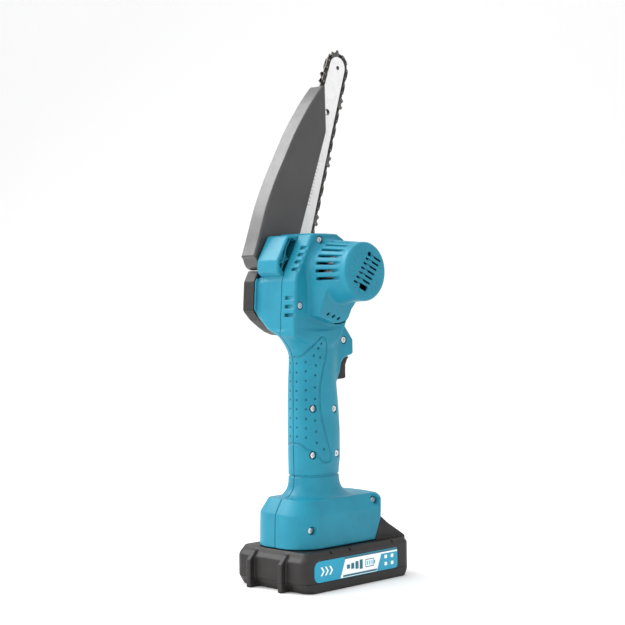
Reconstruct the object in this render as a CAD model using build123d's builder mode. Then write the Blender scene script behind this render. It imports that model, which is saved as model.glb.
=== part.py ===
from build123d import *
import math
import os

os.makedirs("parts", exist_ok=True)

# One-hand cordless mini chainsaw, millimetres.
# Origin: centre of the battery's bottom face.  +Z up the handle to the bar tip,
# +X the trigger and cutting side, -Y the motor side, +Y the bar side.
# Outlines are lists of (x, z) points.  A name ending in _Y is the +Y end of a shape
# that is extruded towards -Y.

CUT = Mode.SUBTRACT

# ---------------------------------------------------------------- shared dimensions
WALL = 2.6                             # moulded wall
FIT = 0.05                             # running clearance
FOOT_Z0, FOOT_Z1 = 30.9, 67.0          # housing foot that sits on the pack
HEAD_Y = 28.0                          # bar side face of the head
MOTOR = (-5.3, 243.0)                  # barrel axis, x and z
BARREL_ROOT_R, BARREL_CAP_R = 25.5, 22.9
BARREL_END_Y = -47.0
PIVOT = (-38.5, 254.0)                 # guard hinge, x and z
LOCK = (-7.0, 190.5)                   # lock-off button, x and z

BAR_Y = 32.0                           # middle plane of bar and chain
BAR_T = 3.0
BAR_TILT = math.radians(18.5)          # bar axis lean towards +X
NOSE = (52.3, 414.6)                   # bar nose centre, x and z
PITCH = 6.4151                         # rivet to rivet
LINKS = 38                             # drive links
TEETH = 8                              # drive sprocket teeth
R_SPROCKET = PITCH / (2 * math.sin(math.pi / (2 * TEETH)))  # rivet circle at the sprocket
R_NOSE = 11.4                          # rivet circle at the bar nose
EDGE = 2.5                             # rivet line above the bar edge

GEAR_TEETH, PINION_TEETH, MODULE = 29, 9, 1.0
SHAFT_R = 4.0                          # output shaft
ROTOR_SHAFT_R = 1.6
STUD_R = 4.0                           # bar stud
PIN_R = 2.5                            # guard hinge pin
OUTER_BEARING_R, INNER_BEARING_R = 11.0, 8.0


# ---------------------------------------------------------------- helpers
def at_y(y):
    """Sketch plane across Y: local x is +X, local y is +Z, extrude runs to -Y."""
    return Plane.XZ.offset(-y)


def disc(centre, radius, bore=0, mode=Mode.ADD):
    """Circle in the current sketch, with a concentric hole if bore is given."""
    with Locations(centre):
        Circle(radius, mode=mode)
        if bore:
            Circle(bore, mode=CUT)


def polar(centre, angle, radial, across=0.0):
    """Point at a distance along a ray from the centre and a distance across the ray."""
    cos, sin = math.cos(angle), math.sin(angle)
    return (centre[0] + radial * cos - across * sin, centre[1] + radial * sin + across * cos)


def turned(centre, *steps):
    """Coaxial discs along Y; each step is its +Y end, length, radius and bore."""
    with BuildPart() as piece:
        for top_y, length, radius, bore in steps:
            with BuildSketch(at_y(top_y)):
                disc(centre, radius, bore)
            extrude(amount=length)
    return piece.part


def coil_spring(pitch, height, radius, wire_r, start, direction):
    with BuildLine() as coil:
        Helix(pitch=pitch, height=height, radius=radius, center=start, direction=direction)
    with BuildPart() as piece:
        with BuildSketch(Plane(origin=coil.line @ 0, z_dir=coil.line % 0)):
            Circle(wire_r)
        sweep(path=coil.line, is_frenet=True)
    return piece.part


def wire_pair(points, tangents, wire_r):
    """Wire along a spline and its mirror image across Y."""
    with BuildLine() as run:
        Spline(*points, tangents=tangents)
    with BuildPart() as piece:
        with BuildSketch(Plane(origin=run.line @ 0, z_dir=run.line % 0)):
            Circle(wire_r)
        sweep(path=run.line)
        mirror(about=Plane.XZ)
    return piece.part


def bisect(low, high, is_low):
    """Largest value, to within the halving, for which is_low still holds."""
    for _ in range(40):
        middle = (low + high) / 2
        if is_low(middle):
            low = middle
        else:
            high = middle
    return low


# ---------------------------------------------------------------- chain path
# Bar coordinates are (across, along): across to the cutting side, along to the tip,
# both from the sprocket centre.
def path_lengths(centres):
    """Lean of the straight runs, run length, half sprocket arc and nose arc."""
    drop = R_SPROCKET - R_NOSE
    lean = math.asin(drop / centres)
    run = math.sqrt(centres * centres - drop ** 2)
    return lean, run, R_SPROCKET * (math.pi / 2 + lean), R_NOSE * (math.pi - 2 * lean)


def path_total(centres):
    _, run, half_arc, nose_arc = path_lengths(centres)
    return 2 * (half_arc + run) + nose_arc


def path_point(s, centres):
    """Point of the rivet line at distance s from its lowest point, up the -across side."""
    lean, run, half_arc, nose_arc = path_lengths(centres)
    total = path_total(centres)
    s = s % total
    if s > total / 2:
        across, along = path_point(total - s, centres)
        return (-across, along)
    if s < half_arc:
        angle = s / R_SPROCKET
        return (-R_SPROCKET * math.sin(angle), -R_SPROCKET * math.cos(angle))
    s -= half_arc
    if s < run:
        start = (-R_SPROCKET * math.cos(lean), R_SPROCKET * math.sin(lean))
        end = (-R_NOSE * math.cos(lean), centres + R_NOSE * math.sin(lean))
        part = s / run
        return (
            start[0] + (end[0] - start[0]) * part,
            start[1] + (end[1] - start[1]) * part,
        )
    angle = lean + (s - run) / R_NOSE
    return (-R_NOSE * math.cos(angle), centres + R_NOSE * math.sin(angle))


def walk(centres):
    """Step rivets by the chord pitch around the path; return them and the closing error."""
    start = -R_SPROCKET * math.pi / (2 * TEETH)
    s = start
    points = []
    for _ in range(2 * LINKS):
        here = path_point(s, centres)
        points.append(here)
        s = bisect(
            s, s + PITCH * 1.2,
            lambda trial: math.dist(path_point(trial, centres), here) < PITCH,
        )
    return points, s - (start + path_total(centres))


# The centre distance is the one at which the chain closes on itself.
CENTRES = bisect(190.0, 215.0, lambda centres: walk(centres)[1] > 0)
LEAN = path_lengths(CENTRES)[0]
SPROCKET = (
    NOSE[0] - CENTRES * math.sin(BAR_TILT),
    NOSE[1] - CENTRES * math.cos(BAR_TILT),
)


def on_bar(across, along):
    """Bar coordinates to sketch coordinates (x, z)."""
    cos, sin = math.cos(BAR_TILT), math.sin(BAR_TILT)
    return (SPROCKET[0] + across * cos + along * sin, SPROCKET[1] - across * sin + along * cos)


RIVETS = [on_bar(*point) for point in walk(CENTRES)[0]]
STUD = on_bar(0.0, 30.0)

# The rotor axis lies on the line from sprocket to barrel, one gear centre distance away.
MESH_ANGLE = math.atan2(MOTOR[1] - SPROCKET[1], MOTOR[0] - SPROCKET[0])
ROTOR = polar(SPROCKET, MESH_ANGLE, MODULE * (GEAR_TEETH + PINION_TEETH) / 2)

# ================================================================ HOUSING
FOOT = [
    # z, x at -X end, x at +X end, width, corner radius at -X, corner radius at +X
    (FOOT_Z0, -54.4, 27.9, 59.0, 23.0, 3.5),
    (48.2, -54.0, 35.0, 60.0, 23.0, 3.0),
    (56.9, -53.6, 35.2, 60.0, 23.0, 3.0),
    (FOOT_Z1, -46.4, 34.6, 46.0, 17.0, 3.0),
]
GRIP = [
    # z, x at -X side, x at +X side, half width
    (64.0, -43.5, 24.0, 23.5),
    (67.2, -41.0, 21.0, 21.5),
    (70.2, -36.9, 17.0, 19.3),
    (75.3, -33.6, 13.2, 17.8),
    (85.0, -33.2, 11.8, 17.0),
    (99.0, -33.4, 12.0, 17.0),
    (119.0, -33.5, 12.0, 17.0),
    (140.0, -33.4, 10.5, 16.6),
    (157.5, -33.4, 8.6, 16.0),
    (172.0, -33.5, 9.0, 15.4),
    (182.0, -35.0, 10.0, 15.0),
    (194.0, -44.5, 12.0, 15.0),
]
HEAD = [
    (-34.6, 181.0), (-38.4, 187.5), (-45.8, 193.9), (-46.2, 208.7), (-45.0, 220.5),
    (-43.6, 237.1), (-43.2, 241.7), (-31.2, 262.0), (-26.1, 272.0), (-24.0, 273.5),
    (3.0, 273.5), (10.2, 269.5), (18.0, 262.0), (25.0, 250.0), (27.5, 238.0),
    (27.0, 227.0), (25.8, 219.8), (20.4, 214.4), (16.3, 208.9), (12.5, 200.5),
    (5.0, 186.0), (-5.0, 178.5),
]
HEAD_CAVITY = [
    (-42.4, 208.0), (-40.6, 236.0), (-21.0, 268.5), (2.0, 270.2), (15.0, 261.0), (23.0, 247.0),
    (24.0, 230.0), (22.0, 221.0), (12.0, 208.0), (8.0, 199.0), (3.0, 190.0), (-2.5, 184.0),
    (-14.0, 182.6), (-30.0, 184.6), (-36.5, 190.0), (-42.0, 198.0),
]
SWELLING = [
    (-45.8, 200.0), (-45.9, 208.7), (-45.0, 220.5), (-43.6, 237.1), (-42.0, 243.0),
    (-20.0, 245.0), (22.0, 245.0), (25.5, 232.0), (24.0, 219.0), (16.0, 207.0),
    (-2.0, 197.0), (-12.4, 194.5), (-26.0, 197.5), (-41.0, 204.0),
]
SWELLING_CAVITY = [
    (-42.4, 209.5), (-40.8, 236.0), (-39.0, 240.5), (-20.0, 242.4), (20.0, 242.4),
    (22.8, 232.0), (21.5, 220.2), (14.2, 209.4), (-2.8, 199.8), (-12.4, 197.4),
    (-25.5, 200.4), (-38.9, 206.2),
]
TRIGGER_NOSE = [
    (0.0, 204.0), (14.0, 204.0), (16.7, 199.5), (25.0, 189.5), (24.8, 178.4), (20.0, 176.5),
    (16.4, 173.0), (12.2, 168.7), (9.7, 160.7), (6.2, 157.2), (0.0, 157.2),
]
TRIGGER_SLOT = [
    (-4.0, 156.9), (30.0, 156.9), (30.0, 174.0), (16.4, 175.0), (16.4, 178.0), (-4.0, 178.0),
]
LUG = [
    (-20.0, 240.0), (-41.8, 240.0), (-43.4, 243.4), (-46.7, 248.2), (-46.6, 252.4),
    (-41.6, 260.9), (-35.4, 271.0), (-33.5, 272.0), (-20.0, 272.0),
]
LUG_POCKET = [
    (-31.6, 265.0), (-36.6, 264.6), (-43.6, 252.6), (-43.6, 249.2), (-40.6, 245.2),
    (-40.6, 246.0),
]
POD_ROOT = [
    (-26.0, 240.0), (-24.0, 214.0), (-12.0, 204.0), (6.0, 204.0), (18.0, 213.0), (20.0, 240.0),
]
POD_END = [
    (-20.0, 240.0), (-18.0, 222.0), (-12.0, 216.0), (4.0, 216.0), (11.0, 221.0), (13.0, 240.0),
]
ABOVE_SWELLING = [(-60.0, 245.0), (40.0, 245.0), (40.0, 290.0), (-60.0, 290.0)]

SCREW_SITES = [
    # x, z, y of the head's -Y face, y of the far boss end
    (-24.3, 137.0, -12.9, 11.0), (-2.7, 135.8, -14.6, 11.5), (-24.7, 100.8, -12.8, 11.0),
    (-0.2, 100.6, -14.5, 11.5), (-17.3, 268.2, -14.5, 20.0), (-39.2, 217.3, -14.5, 20.0),
    (13.9, 189.4, -10.0, 8.5), (-41.0, 45.4, -25.6, 22.0), (30.2, 61.6, -25.4, 20.0),
]
SCREW_HEAD_T, SCREW_HEAD_R = 1.7, 2.4
SHANK_R = 1.2
BOSS_R, WELL_R, CLEARANCE_R = 3.2, 2.6, 1.5
LUG_Y, LUG_T = 23.4, 21.4


def foot_block():
    """Rounded block with a chamfered top, slanting in towards its bottom at +X."""
    with BuildPart() as piece:
        for z, x0, x1, width, corner0, corner1 in FOOT:
            with BuildSketch(Plane.XY.offset(z)) as section:
                with Locations(((x0 + x1) / 2, 0)):
                    Rectangle(x1 - x0, width)
                fillet(section.vertices().group_by(Axis.X)[0], corner0)
                fillet(section.vertices().group_by(Axis.X)[-1], corner1)
        loft(ruled=True)
    return piece.part


def grip(inset):
    """Elliptical sections from the foot up into the head, drawn in by the inset."""
    with BuildPart() as piece:
        for z, x0, x1, half_width in GRIP:
            with BuildSketch(Plane.XY.offset(z)):
                with Locations(((x0 + x1) / 2, 0)):
                    Ellipse((x1 - x0) / 2 - inset, half_width - inset)
        loft(ruled=True)
    return piece.part


def head_block():
    """Head with a chamfered -Y face, and the swelling behind the sprocket cover."""
    head_y, head_t, swelling_t = 22.0, 37.0, 8.0
    with BuildPart() as piece:
        with BuildSketch(at_y(head_y)):
            Polygon(*HEAD)
        extrude(amount=head_t)
        chamfer(piece.faces().sort_by(Axis.Y)[0].edges(), length=2.2)
        with BuildSketch(at_y(HEAD_Y)):
            Polygon(*SWELLING)
        extrude(amount=swelling_t)
    return piece.part


def trigger_nose():
    """Nose around the trigger, narrower than the head."""
    half_width = 10.5
    with BuildPart() as piece:
        with BuildSketch(at_y(half_width)):
            Polygon(*TRIGGER_NOSE)
        extrude(amount=2 * half_width)
        chamfer(piece.edges().filter_by(Axis.Y).sort_by(Axis.X)[-2:], length=1.2)
    return piece.part


def hinge_lug():
    """Lug on the +Y half with the boss for the guard hinge pin."""
    pocket_y, pocket_t = 20.5, 18.5
    with BuildPart() as piece:
        with BuildSketch(at_y(LUG_Y)):
            Polygon(*LUG)
        extrude(amount=LUG_T)
        chamfer(piece.edges().filter_by(Axis.Y).sort_by(Axis.X)[0:2], length=1.0)
        # pocket open towards -Y, leaving the outer skin
        with BuildSketch(at_y(pocket_y)):
            Polygon(*LUG_POCKET)
        extrude(amount=pocket_t, mode=CUT)
        with BuildSketch(at_y(LUG_Y)):
            disc(PIVOT, 4.6)
        extrude(amount=LUG_T)
    return piece.part


def pod():
    """Pod under the barrel on the motor side."""
    with BuildPart() as piece:
        with BuildSketch(at_y(-14.0)):
            Polygon(*POD_ROOT)
        with BuildSketch(at_y(-31.0)):
            Polygon(*POD_END)
        loft(ruled=True)
    return piece.part


def barrel():
    """Motor barrel: tapered drum along -Y."""
    with BuildPart() as piece:
        with BuildSketch(at_y(-10.0)):
            disc(MOTOR, BARREL_ROOT_R)
        with BuildSketch(at_y(BARREL_END_Y)):
            disc(MOTOR, BARREL_CAP_R)
        loft()
    return piece.part


def housing_body():
    """Both housing halves in one, hollowed."""
    blocks = [
        foot_block(), grip(0), head_block(), trigger_nose(), hinge_lug(), pod(), barrel(),
    ]
    grip_cavity = grip(WALL)
    head_cavity_y, head_cavity_t = 19.4, 31.4
    slot_half = 5.2
    with BuildPart() as piece:
        for block in blocks:
            add(block)
        add(grip_cavity, mode=CUT)
        # foot cavity and the neck that joins it to the grip cavity
        with BuildSketch(Plane.XY.offset(44.5)):
            with Locations((-9.0, 0)):
                RectangleRounded(80.0, 53.0, 19)
        extrude(amount=17.5, mode=CUT)
        with BuildSketch(Plane.XY.offset(60.0)):
            with Locations((-9.5, 0)):
                Ellipse(29.0, 18.5)
        extrude(amount=6.5, mode=CUT)
        with BuildSketch(at_y(head_cavity_y)):
            Polygon(*HEAD_CAVITY)
        extrude(amount=head_cavity_t, mode=CUT)
        # deeper pocket behind the sprocket cover
        with BuildSketch(at_y(HEAD_Y - WALL)):
            Polygon(*SWELLING_CAVITY)
        extrude(amount=6.5, mode=CUT)
        # barrel bore
        with BuildSketch(at_y(-11.0)):
            disc(MOTOR, 20.6)
        extrude(amount=40.0, mode=CUT)
        # slot for the trigger between the halves and through the nose
        with BuildSketch(at_y(slot_half)):
            Polygon(*TRIGGER_SLOT)
        extrude(amount=2 * slot_half, mode=CUT)
        # battery channel under the foot
        with BuildSketch(Plane.XY.offset(FOOT_Z0 - 1)):
            with Locations((-4.0, 0)):
                Rectangle(86.0, 39.0)
        extrude(amount=12.6, mode=CUT)
        # clear the guard, cover and bar region on the +Y side above the swelling
        with BuildSketch(at_y(30.0)):
            Polygon(*ABOVE_SWELLING)
        extrude(amount=6.5, mode=CUT)
        # hole for the output shaft
        with BuildSketch(at_y(28.5)):
            disc(SPROCKET, 8.0)
        extrude(amount=6.0, mode=CUT)
    return piece.part


def foot_rail(side):
    """Slide rail of the foot, reaching into the pack's tower groove on one Y side."""
    y0, y1, z0, z1 = side * 16.0, side * 19.6, 33.2, 36.0
    with BuildPart() as piece:
        with BuildSketch(Plane.YZ.offset(-45.0)):
            Polygon((y1, z0), (y0, z0), (y0, z1), (y1, z1))
        extrude(amount=70.0)
    return piece.part


def at_screws(*cylinders):
    """Cylinders at every screw; each is a radius and a rule giving its +Y end and length."""
    with BuildPart() as piece:
        for x, z, head_y, far_y in SCREW_SITES:
            for radius, span in cylinders:
                top_y, length = span(head_y, far_y)
                with BuildSketch(at_y(top_y)):
                    disc((x, z), radius)
                extrude(amount=length)
    return piece.part


HOUSING_BODY = housing_body()


def motor_side_housing():
    rail = foot_rail(-1)
    bosses = at_screws((BOSS_R, lambda head_y, far_y: (0.0, -head_y - 1.0)))
    wells = at_screws(
        (WELL_R, lambda head_y, far_y: (head_y + SCREW_HEAD_T, 20.0)),
        (CLEARANCE_R, lambda head_y, far_y: (0.5, 30.0)),
    )
    slot_r, slot_mid_y, slot_step = 19.0, -31.0, 16.5
    with BuildPart() as piece:
        add(HOUSING_BODY)
        split(bisect_by=Plane.XZ, keep=Keep.TOP)
        add(rail)
        add(bosses)
        add(wells, mode=CUT)
        # axial cooling slots over the barrel's top and -X side
        for k in range(10):
            angle = math.radians(78 + slot_step * k)
            x, z = polar(MOTOR, angle, slot_r)
            with BuildSketch(Plane(
                origin=(x, slot_mid_y, z),
                x_dir=(0, 1, 0), z_dir=(math.cos(angle), 0, math.sin(angle)),
            )):
                SlotOverall(25.0, 2.4)
            extrude(amount=12.0, mode=CUT)
        # vents in the head's -X wall
        for z in (223.0, 216.0, 209.0):
            with BuildSketch(Plane.YZ.offset(-50.0)):
                with Locations((-8.5, z)):
                    Rectangle(10.0, 2.6)
            extrude(amount=9.0, mode=CUT)
        # vents on the slanted shelf
        for k in range(4):
            with BuildSketch(at_y(-5.0)):
                with Locations((-37.5 + 3.3 * k, 247.5 + 5.6 * k)):
                    Rectangle(9.0, 2.2)
            extrude(amount=8.0, mode=CUT)
    return piece.part


def sprocket_side_housing():
    rail = foot_rail(1)
    bearing_seat = turned(SPROCKET, (HEAD_Y - 2.5, 7.5, 13.6, OUTER_BEARING_R))
    bosses = at_screws((BOSS_R, lambda head_y, far_y: (far_y, far_y)))
    pilots = at_screws((SHANK_R, lambda head_y, far_y: (far_y - 2.0, 30.0)))
    with BuildPart() as piece:
        add(HOUSING_BODY)
        split(bisect_by=Plane.XZ, keep=Keep.BOTTOM)
        add(rail)
        add(bearing_seat)
        add(bosses)
        add(pilots, mode=CUT)
        # cross rib that backs the lock-off spring
        with BuildSketch(at_y(10.0)):
            with Locations((-4.0, LOCK[1])):
                Rectangle(16.0, 6.0)
        extrude(amount=2.0)
        # boss for the bar stud
        with BuildSketch(at_y(23.4)):
            disc(STUD, 8.5)
        extrude(amount=4.5)
        # opening for the lock-off button
        with BuildSketch(at_y(30.0)):
            disc(LOCK, 4.1)
        extrude(amount=15.0, mode=CUT)
        # guard pin seat through the lug
        with BuildSketch(at_y(24.0)):
            disc(PIVOT, PIN_R)
        extrude(amount=18.0, mode=CUT)
    return piece.part


def motor_end_cap():
    """Ring with a domed, slotted face."""
    rim_y, rim_t, dome_t = BARREL_END_Y - 0.1, 5.4, 2.5
    with BuildPart() as piece:
        with BuildSketch(at_y(rim_y)):
            disc(MOTOR, BARREL_CAP_R)
        extrude(amount=rim_t)
        with BuildSketch(at_y(rim_y - rim_t)):
            disc(MOTOR, BARREL_CAP_R - 0.1)
        with BuildSketch(at_y(rim_y - rim_t - dome_t)):
            disc(MOTOR, BARREL_CAP_R - 4.0)
        loft()
        # hollow behind the face
        with BuildSketch(at_y(BARREL_END_Y)):
            disc(MOTOR, BARREL_CAP_R - 2.4)
        extrude(amount=5.6, mode=CUT)
        # two leaning columns of vent slots
        with BuildSketch(at_y(-50.0)):
            with Locations(Location((*MOTOR, 0), (0, 0, -25))):
                with GridLocations(11.5, 4.3, 2, 6):
                    SlotOverall(9.4, 2.3)
        extrude(amount=6.0, mode=CUT)
        # notch at the lower edge
        with BuildSketch(at_y(-49.5)):
            with Locations((MOTOR[0] + 3.0, MOTOR[1] - BARREL_CAP_R)):
                Rectangle(8.0, 3.0)
        extrude(amount=1.6, mode=CUT)
    return piece.part


def housing_screws():
    """Heads in the wells, shanks through to the far half, cross recess."""
    tip_gap, overlap = 3.0, 0.2
    blanks = at_screws(
        (SCREW_HEAD_R, lambda head_y, far_y: (head_y + SCREW_HEAD_T, SCREW_HEAD_T)),
        (SHANK_R, lambda head_y, far_y: (
            far_y - tip_gap, far_y - tip_gap - head_y - SCREW_HEAD_T + overlap,
        )),
    )
    cross_length, cross_width = 2.8, 0.6
    with BuildPart() as piece:
        add(blanks)
        for x, z, head_y, _ in SCREW_SITES:
            with BuildSketch(at_y(head_y + 1.0)):
                with Locations((x, z)):
                    Rectangle(cross_length, cross_width)
                    Rectangle(cross_width, cross_length)
            extrude(amount=1.5, mode=CUT)
    return piece.part


# ================================================================ BAR SIDE
COVER = [
    (-42.6, 244.6), (-47.3, 236.1), (-48.3, 220.7), (-48.6, 213.4), (-46.7, 211.0),
    (-41.0, 205.4), (-32.7, 199.8), (-26.0, 196.0), (-19.3, 193.6), (-12.4, 192.9),
    (-3.0, 193.6), (8.0, 197.8), (17.0, 204.8), (24.0, 214.5), (27.5, 227.0), (27.0, 240.0),
    (23.5, 254.0), (17.0, 263.5), (9.0, 266.0), (-3.0, 262.0), (-16.0, 247.5), (-28.0, 244.6),
]
# runs out past the cover's upper edge, so that the bar and chain can leave
COVER_CAVITY = [
    (-39.5, 241.8), (-44.3, 235.2), (-45.5, 220.7), (-45.8, 214.6), (-39.3, 207.9),
    (-31.2, 202.5), (-25.0, 198.8), (-18.6, 196.5), (-12.4, 195.8), (-3.6, 196.5),
    (6.8, 200.4), (15.0, 206.8), (21.5, 215.8), (24.6, 227.4), (24.1, 239.6), (20.8, 253.0),
    (26.0, 275.0), (-31.0, 275.0), (-31.0, 241.8),
]
# (across, along) in bar coordinates
BAR_PLATE = [
    (-12.0, 17.5), (12.0, 17.5), (12.5, 33.0), (9.0, 42.0), (-9.0, 42.0), (-12.5, 33.0),
]


def sprocket_cover():
    cover_y, cover_t = 42.0, 13.9
    above_y = cover_y + 3.0
    slot_x, slot_pitch = SPROCKET[0] - 12.0, 6.0
    with BuildPart() as piece:
        with BuildSketch(at_y(cover_y)):
            Polygon(*COVER)
        extrude(amount=cover_t)
        chamfer(piece.faces().sort_by(Axis.Y)[-1].edges(), length=2.0)
        with BuildSketch(at_y(39.2)):
            Polygon(*COVER_CAVITY)
        extrude(amount=12.0, mode=CUT)
        # pad that clamps the bar, with the stud hole
        with BuildSketch(at_y(39.5)):
            disc(STUD, 9.0)
        extrude(amount=5.9)
        with BuildSketch(at_y(above_y)):
            disc(STUD, 4.1)
        extrude(amount=20.0, mode=CUT)
        # recess for the nut
        with BuildSketch(at_y(above_y)):
            disc(STUD, 8.0)
        extrude(amount=6.4, mode=CUT)
        # sawdust slots over the sprocket
        with BuildSketch(at_y(above_y)):
            with Locations(*[(slot_x, SPROCKET[1] + slot_pitch * k) for k in (-1, 0, 1)]):
                SlotOverall(18.0, 2.6)
        extrude(amount=8.0, mode=CUT)
    return piece.part


def bar_plate():
    """Steel wear plate between the housing and the bar."""
    thickness = 1.2
    with BuildPart() as piece:
        with BuildSketch(at_y(30.4)):
            with BuildLine():
                Polyline(*[on_bar(*point) for point in BAR_PLATE], close=True)
            make_face()
            disc(STUD, STUD_R + FIT, mode=CUT)
        extrude(amount=thickness)
    return piece.part


def bar_stud():
    """Stud with a flange in the housing."""
    return turned(STUD, (44.0, 20.5, STUD_R, 0), (27.2, 3.7, 7.0, 0))


def cover_nut():
    with BuildPart() as piece:
        with BuildSketch(at_y(44.6)):
            with Locations(STUD):
                RegularPolygon(radius=7.2, side_count=6)
                Circle(STUD_R, mode=CUT)
        extrude(amount=5.9)
    return piece.part


def bar_edge(along, side, inset):
    """Point of the straight bar edge on one side."""
    half_width = (R_SPROCKET - EDGE) / math.cos(LEAN) - along * math.tan(LEAN)
    return on_bar(side * (half_width - inset), along)


def bar_outline(inset, tail):
    """Bar outline drawn in by the inset, from the nose arc to a chamfered tail."""
    chamfer_along, chamfer_across, arc_steps = 6, 3, 24
    radius = R_NOSE - EDGE - inset
    angles = [LEAN + (math.pi - 2 * LEAN) * k / arc_steps for k in range(arc_steps + 1)]
    return [
        on_bar(-radius * math.cos(angle), CENTRES + radius * math.sin(angle))
        for angle in angles
    ] + [
        bar_edge(tail + chamfer_along, 1, inset),
        bar_edge(tail, 1, inset + chamfer_across),
        bar_edge(tail, -1, inset + chamfer_across),
        bar_edge(tail + chamfer_along, -1, inset),
    ]


def bar_openings():
    """Stud slot and the three round holes, cut from the current sketch."""
    along_bar = (0, 0, 90 - math.degrees(BAR_TILT))
    with Locations(Location((*on_bar(0.0, 31.0), 0), along_bar)):
        SlotOverall(20.0, 8.3, mode=CUT)
    disc((NOSE[0] + 0.4, NOSE[1] - 0.3), 1.5, mode=CUT)
    disc((39.7, 376.5), 2.4, mode=CUT)
    disc(on_bar(-7.5, 27.0), 1.6, mode=CUT)


def guide_bar():
    """Tapered plate with a chain groove in its edge."""
    tail = 19.5
    groove_depth, groove_width = 4.7, 1.36
    groove_y = BAR_Y + groove_width / 2
    with BuildPart() as piece:
        with BuildSketch(at_y(BAR_Y + BAR_T / 2)):
            with BuildLine():
                Polyline(*bar_outline(0.0, tail), close=True)
            make_face()
            bar_openings()
        extrude(amount=BAR_T)
        # chain groove all round the edge
        with BuildSketch(at_y(groove_y)):
            with BuildLine():
                Polyline(*bar_outline(-0.5, tail - 1.0), close=True)
            make_face()
            with BuildLine():
                Polyline(*bar_outline(groove_depth, 28.0), close=True)
            make_face(mode=CUT)
        extrude(amount=groove_width, mode=CUT)
        # core that closes the groove's bottom, up to the tail
        with BuildSketch(at_y(groove_y)):
            with BuildLine():
                Polyline(*bar_outline(groove_depth, tail), close=True)
            make_face()
            bar_openings()
        extrude(amount=groove_width)
    return piece.part


# ---------------------------------------------------------------- chain
# Link outlines: (along the link from its middle, outwards from its rivet line).
DRIVE_LINK = [
    (-4.8, -0.1), (-4.1, 1.3), (-1.2, 1.5), (1.2, 1.5), (4.1, 1.3), (4.8, -0.1), (4.2, -1.7),
    (2.3, -2.7), (1.0, -5.7), (-0.9, -6.0), (-2.3, -2.7), (-4.2, -1.7),
]
SIDE_UNDERSIDE = [
    (4.4, -1.9), (3.2, -2.25), (2.0, -2.05), (0.8, -1.85),
    (-0.8, -1.85), (-2.0, -2.05), (-3.2, -2.25), (-4.4, -1.9),
]
TIE_STRAP = [
    (-4.9, -0.2), (-4.4, 1.2), (-2.5, 1.6), (2.5, 1.6), (4.4, 1.2), (4.9, -0.4),
] + SIDE_UNDERSIDE
CUTTER = SIDE_UNDERSIDE + [
    (-4.9, 0.5), (-3.5, 3.0), (-1.7, 2.6), (-0.9, 1.7), (0.3, 1.3), (1.5, 1.9), (2.6, 3.4),
    (4.6, 2.6), (4.9, -0.2),
]
DRIVE_T, SIDE_T, SIDE_GAP = 1.1, 1.0, 0.05
LEFT_Y = BAR_Y + DRIVE_T / 2 + SIDE_GAP + SIDE_T     # side links on the +Y side
RIGHT_Y = BAR_Y - DRIVE_T / 2 - SIDE_GAP             # side links on the -Y side
RIVET_R, RIVET_LENGTH = 0.9, 3.8
CUTTER_STEP = 4                                      # side links between like cutters
LEFT_CUTTER, RIGHT_CUTTER = 0, 2                     # first cutter on each side


def draw_links(outline, first_rivets):
    """Links from each listed rivet to the next, with rivet holes, in the current sketch."""
    for index in first_rivets:
        start, end = RIVETS[index], RIVETS[(index + 1) % len(RIVETS)]
        middle = ((start[0] + end[0]) / 2, (start[1] + end[1]) / 2)
        angle = math.atan2(end[1] - start[1], end[0] - start[0])
        Polygon(*[polar(middle, angle, along, outwards) for along, outwards in outline])
    with Locations(*RIVETS):
        Circle(RIVET_R + FIT, mode=CUT)


def strap_rivets(cutter):
    """First rivets of the side links that are not cutters on this side."""
    return [2 * k + 1 for k in range(LINKS) if k % CUTTER_STEP != cutter]


def cutter_rivets(cutter):
    return [2 * k + 1 for k in range(cutter, LINKS, CUTTER_STEP)]


def chain_drive_links():
    with BuildPart() as piece:
        with BuildSketch(at_y(BAR_Y + DRIVE_T / 2)):
            draw_links(DRIVE_LINK, range(0, 2 * LINKS, 2))
        extrude(amount=DRIVE_T)
    return piece.part


def chain_tie_straps():
    with BuildPart() as piece:
        for side_y, cutter in ((LEFT_Y, LEFT_CUTTER), (RIGHT_Y, RIGHT_CUTTER)):
            with BuildSketch(at_y(side_y)):
                draw_links(TIE_STRAP, strap_rivets(cutter))
            extrude(amount=SIDE_T)
    return piece.part


def cutters(side_y, cutter):
    with BuildPart() as piece:
        with BuildSketch(at_y(side_y)):
            draw_links(CUTTER, cutter_rivets(cutter))
        extrude(amount=SIDE_T)
    return piece.part


def chain_cutters_left():
    return cutters(LEFT_Y, LEFT_CUTTER)


def chain_cutters_right():
    return cutters(RIGHT_Y, RIGHT_CUTTER)


def chain_rivets():
    with BuildPart() as piece:
        with BuildSketch(at_y(BAR_Y + RIVET_LENGTH / 2)):
            with Locations(*RIVETS):
                Circle(RIVET_R)
        extrude(amount=RIVET_LENGTH)
    return piece.part


# ================================================================ DRIVE TRAIN
# (distance from the axis, distance across) of one gap and one blade
SPROCKET_GAP = [(14.5, -3.1), (12.6, -2.7), (9.6, -1.5), (9.6, 1.5), (12.6, 2.7), (14.5, 3.1)]
FAN_BLADE = [(4.0, -0.6), (16.0, 1.8), (16.0, 3.0), (4.0, 0.6)]
CLIP_Y, CLIP_T = 34.85, 0.7
CLIP_BORE_R = 3.2                      # also the bottom of the shaft's clip groove
DEDENDUM, BACKLASH = 1.3, 0.35
CAN_R = 18.0
GEAR_PLATE_Y = 2.0
PINION_Y = 16.5                        # +Y end of the pinion and the rotor shaft


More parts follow.
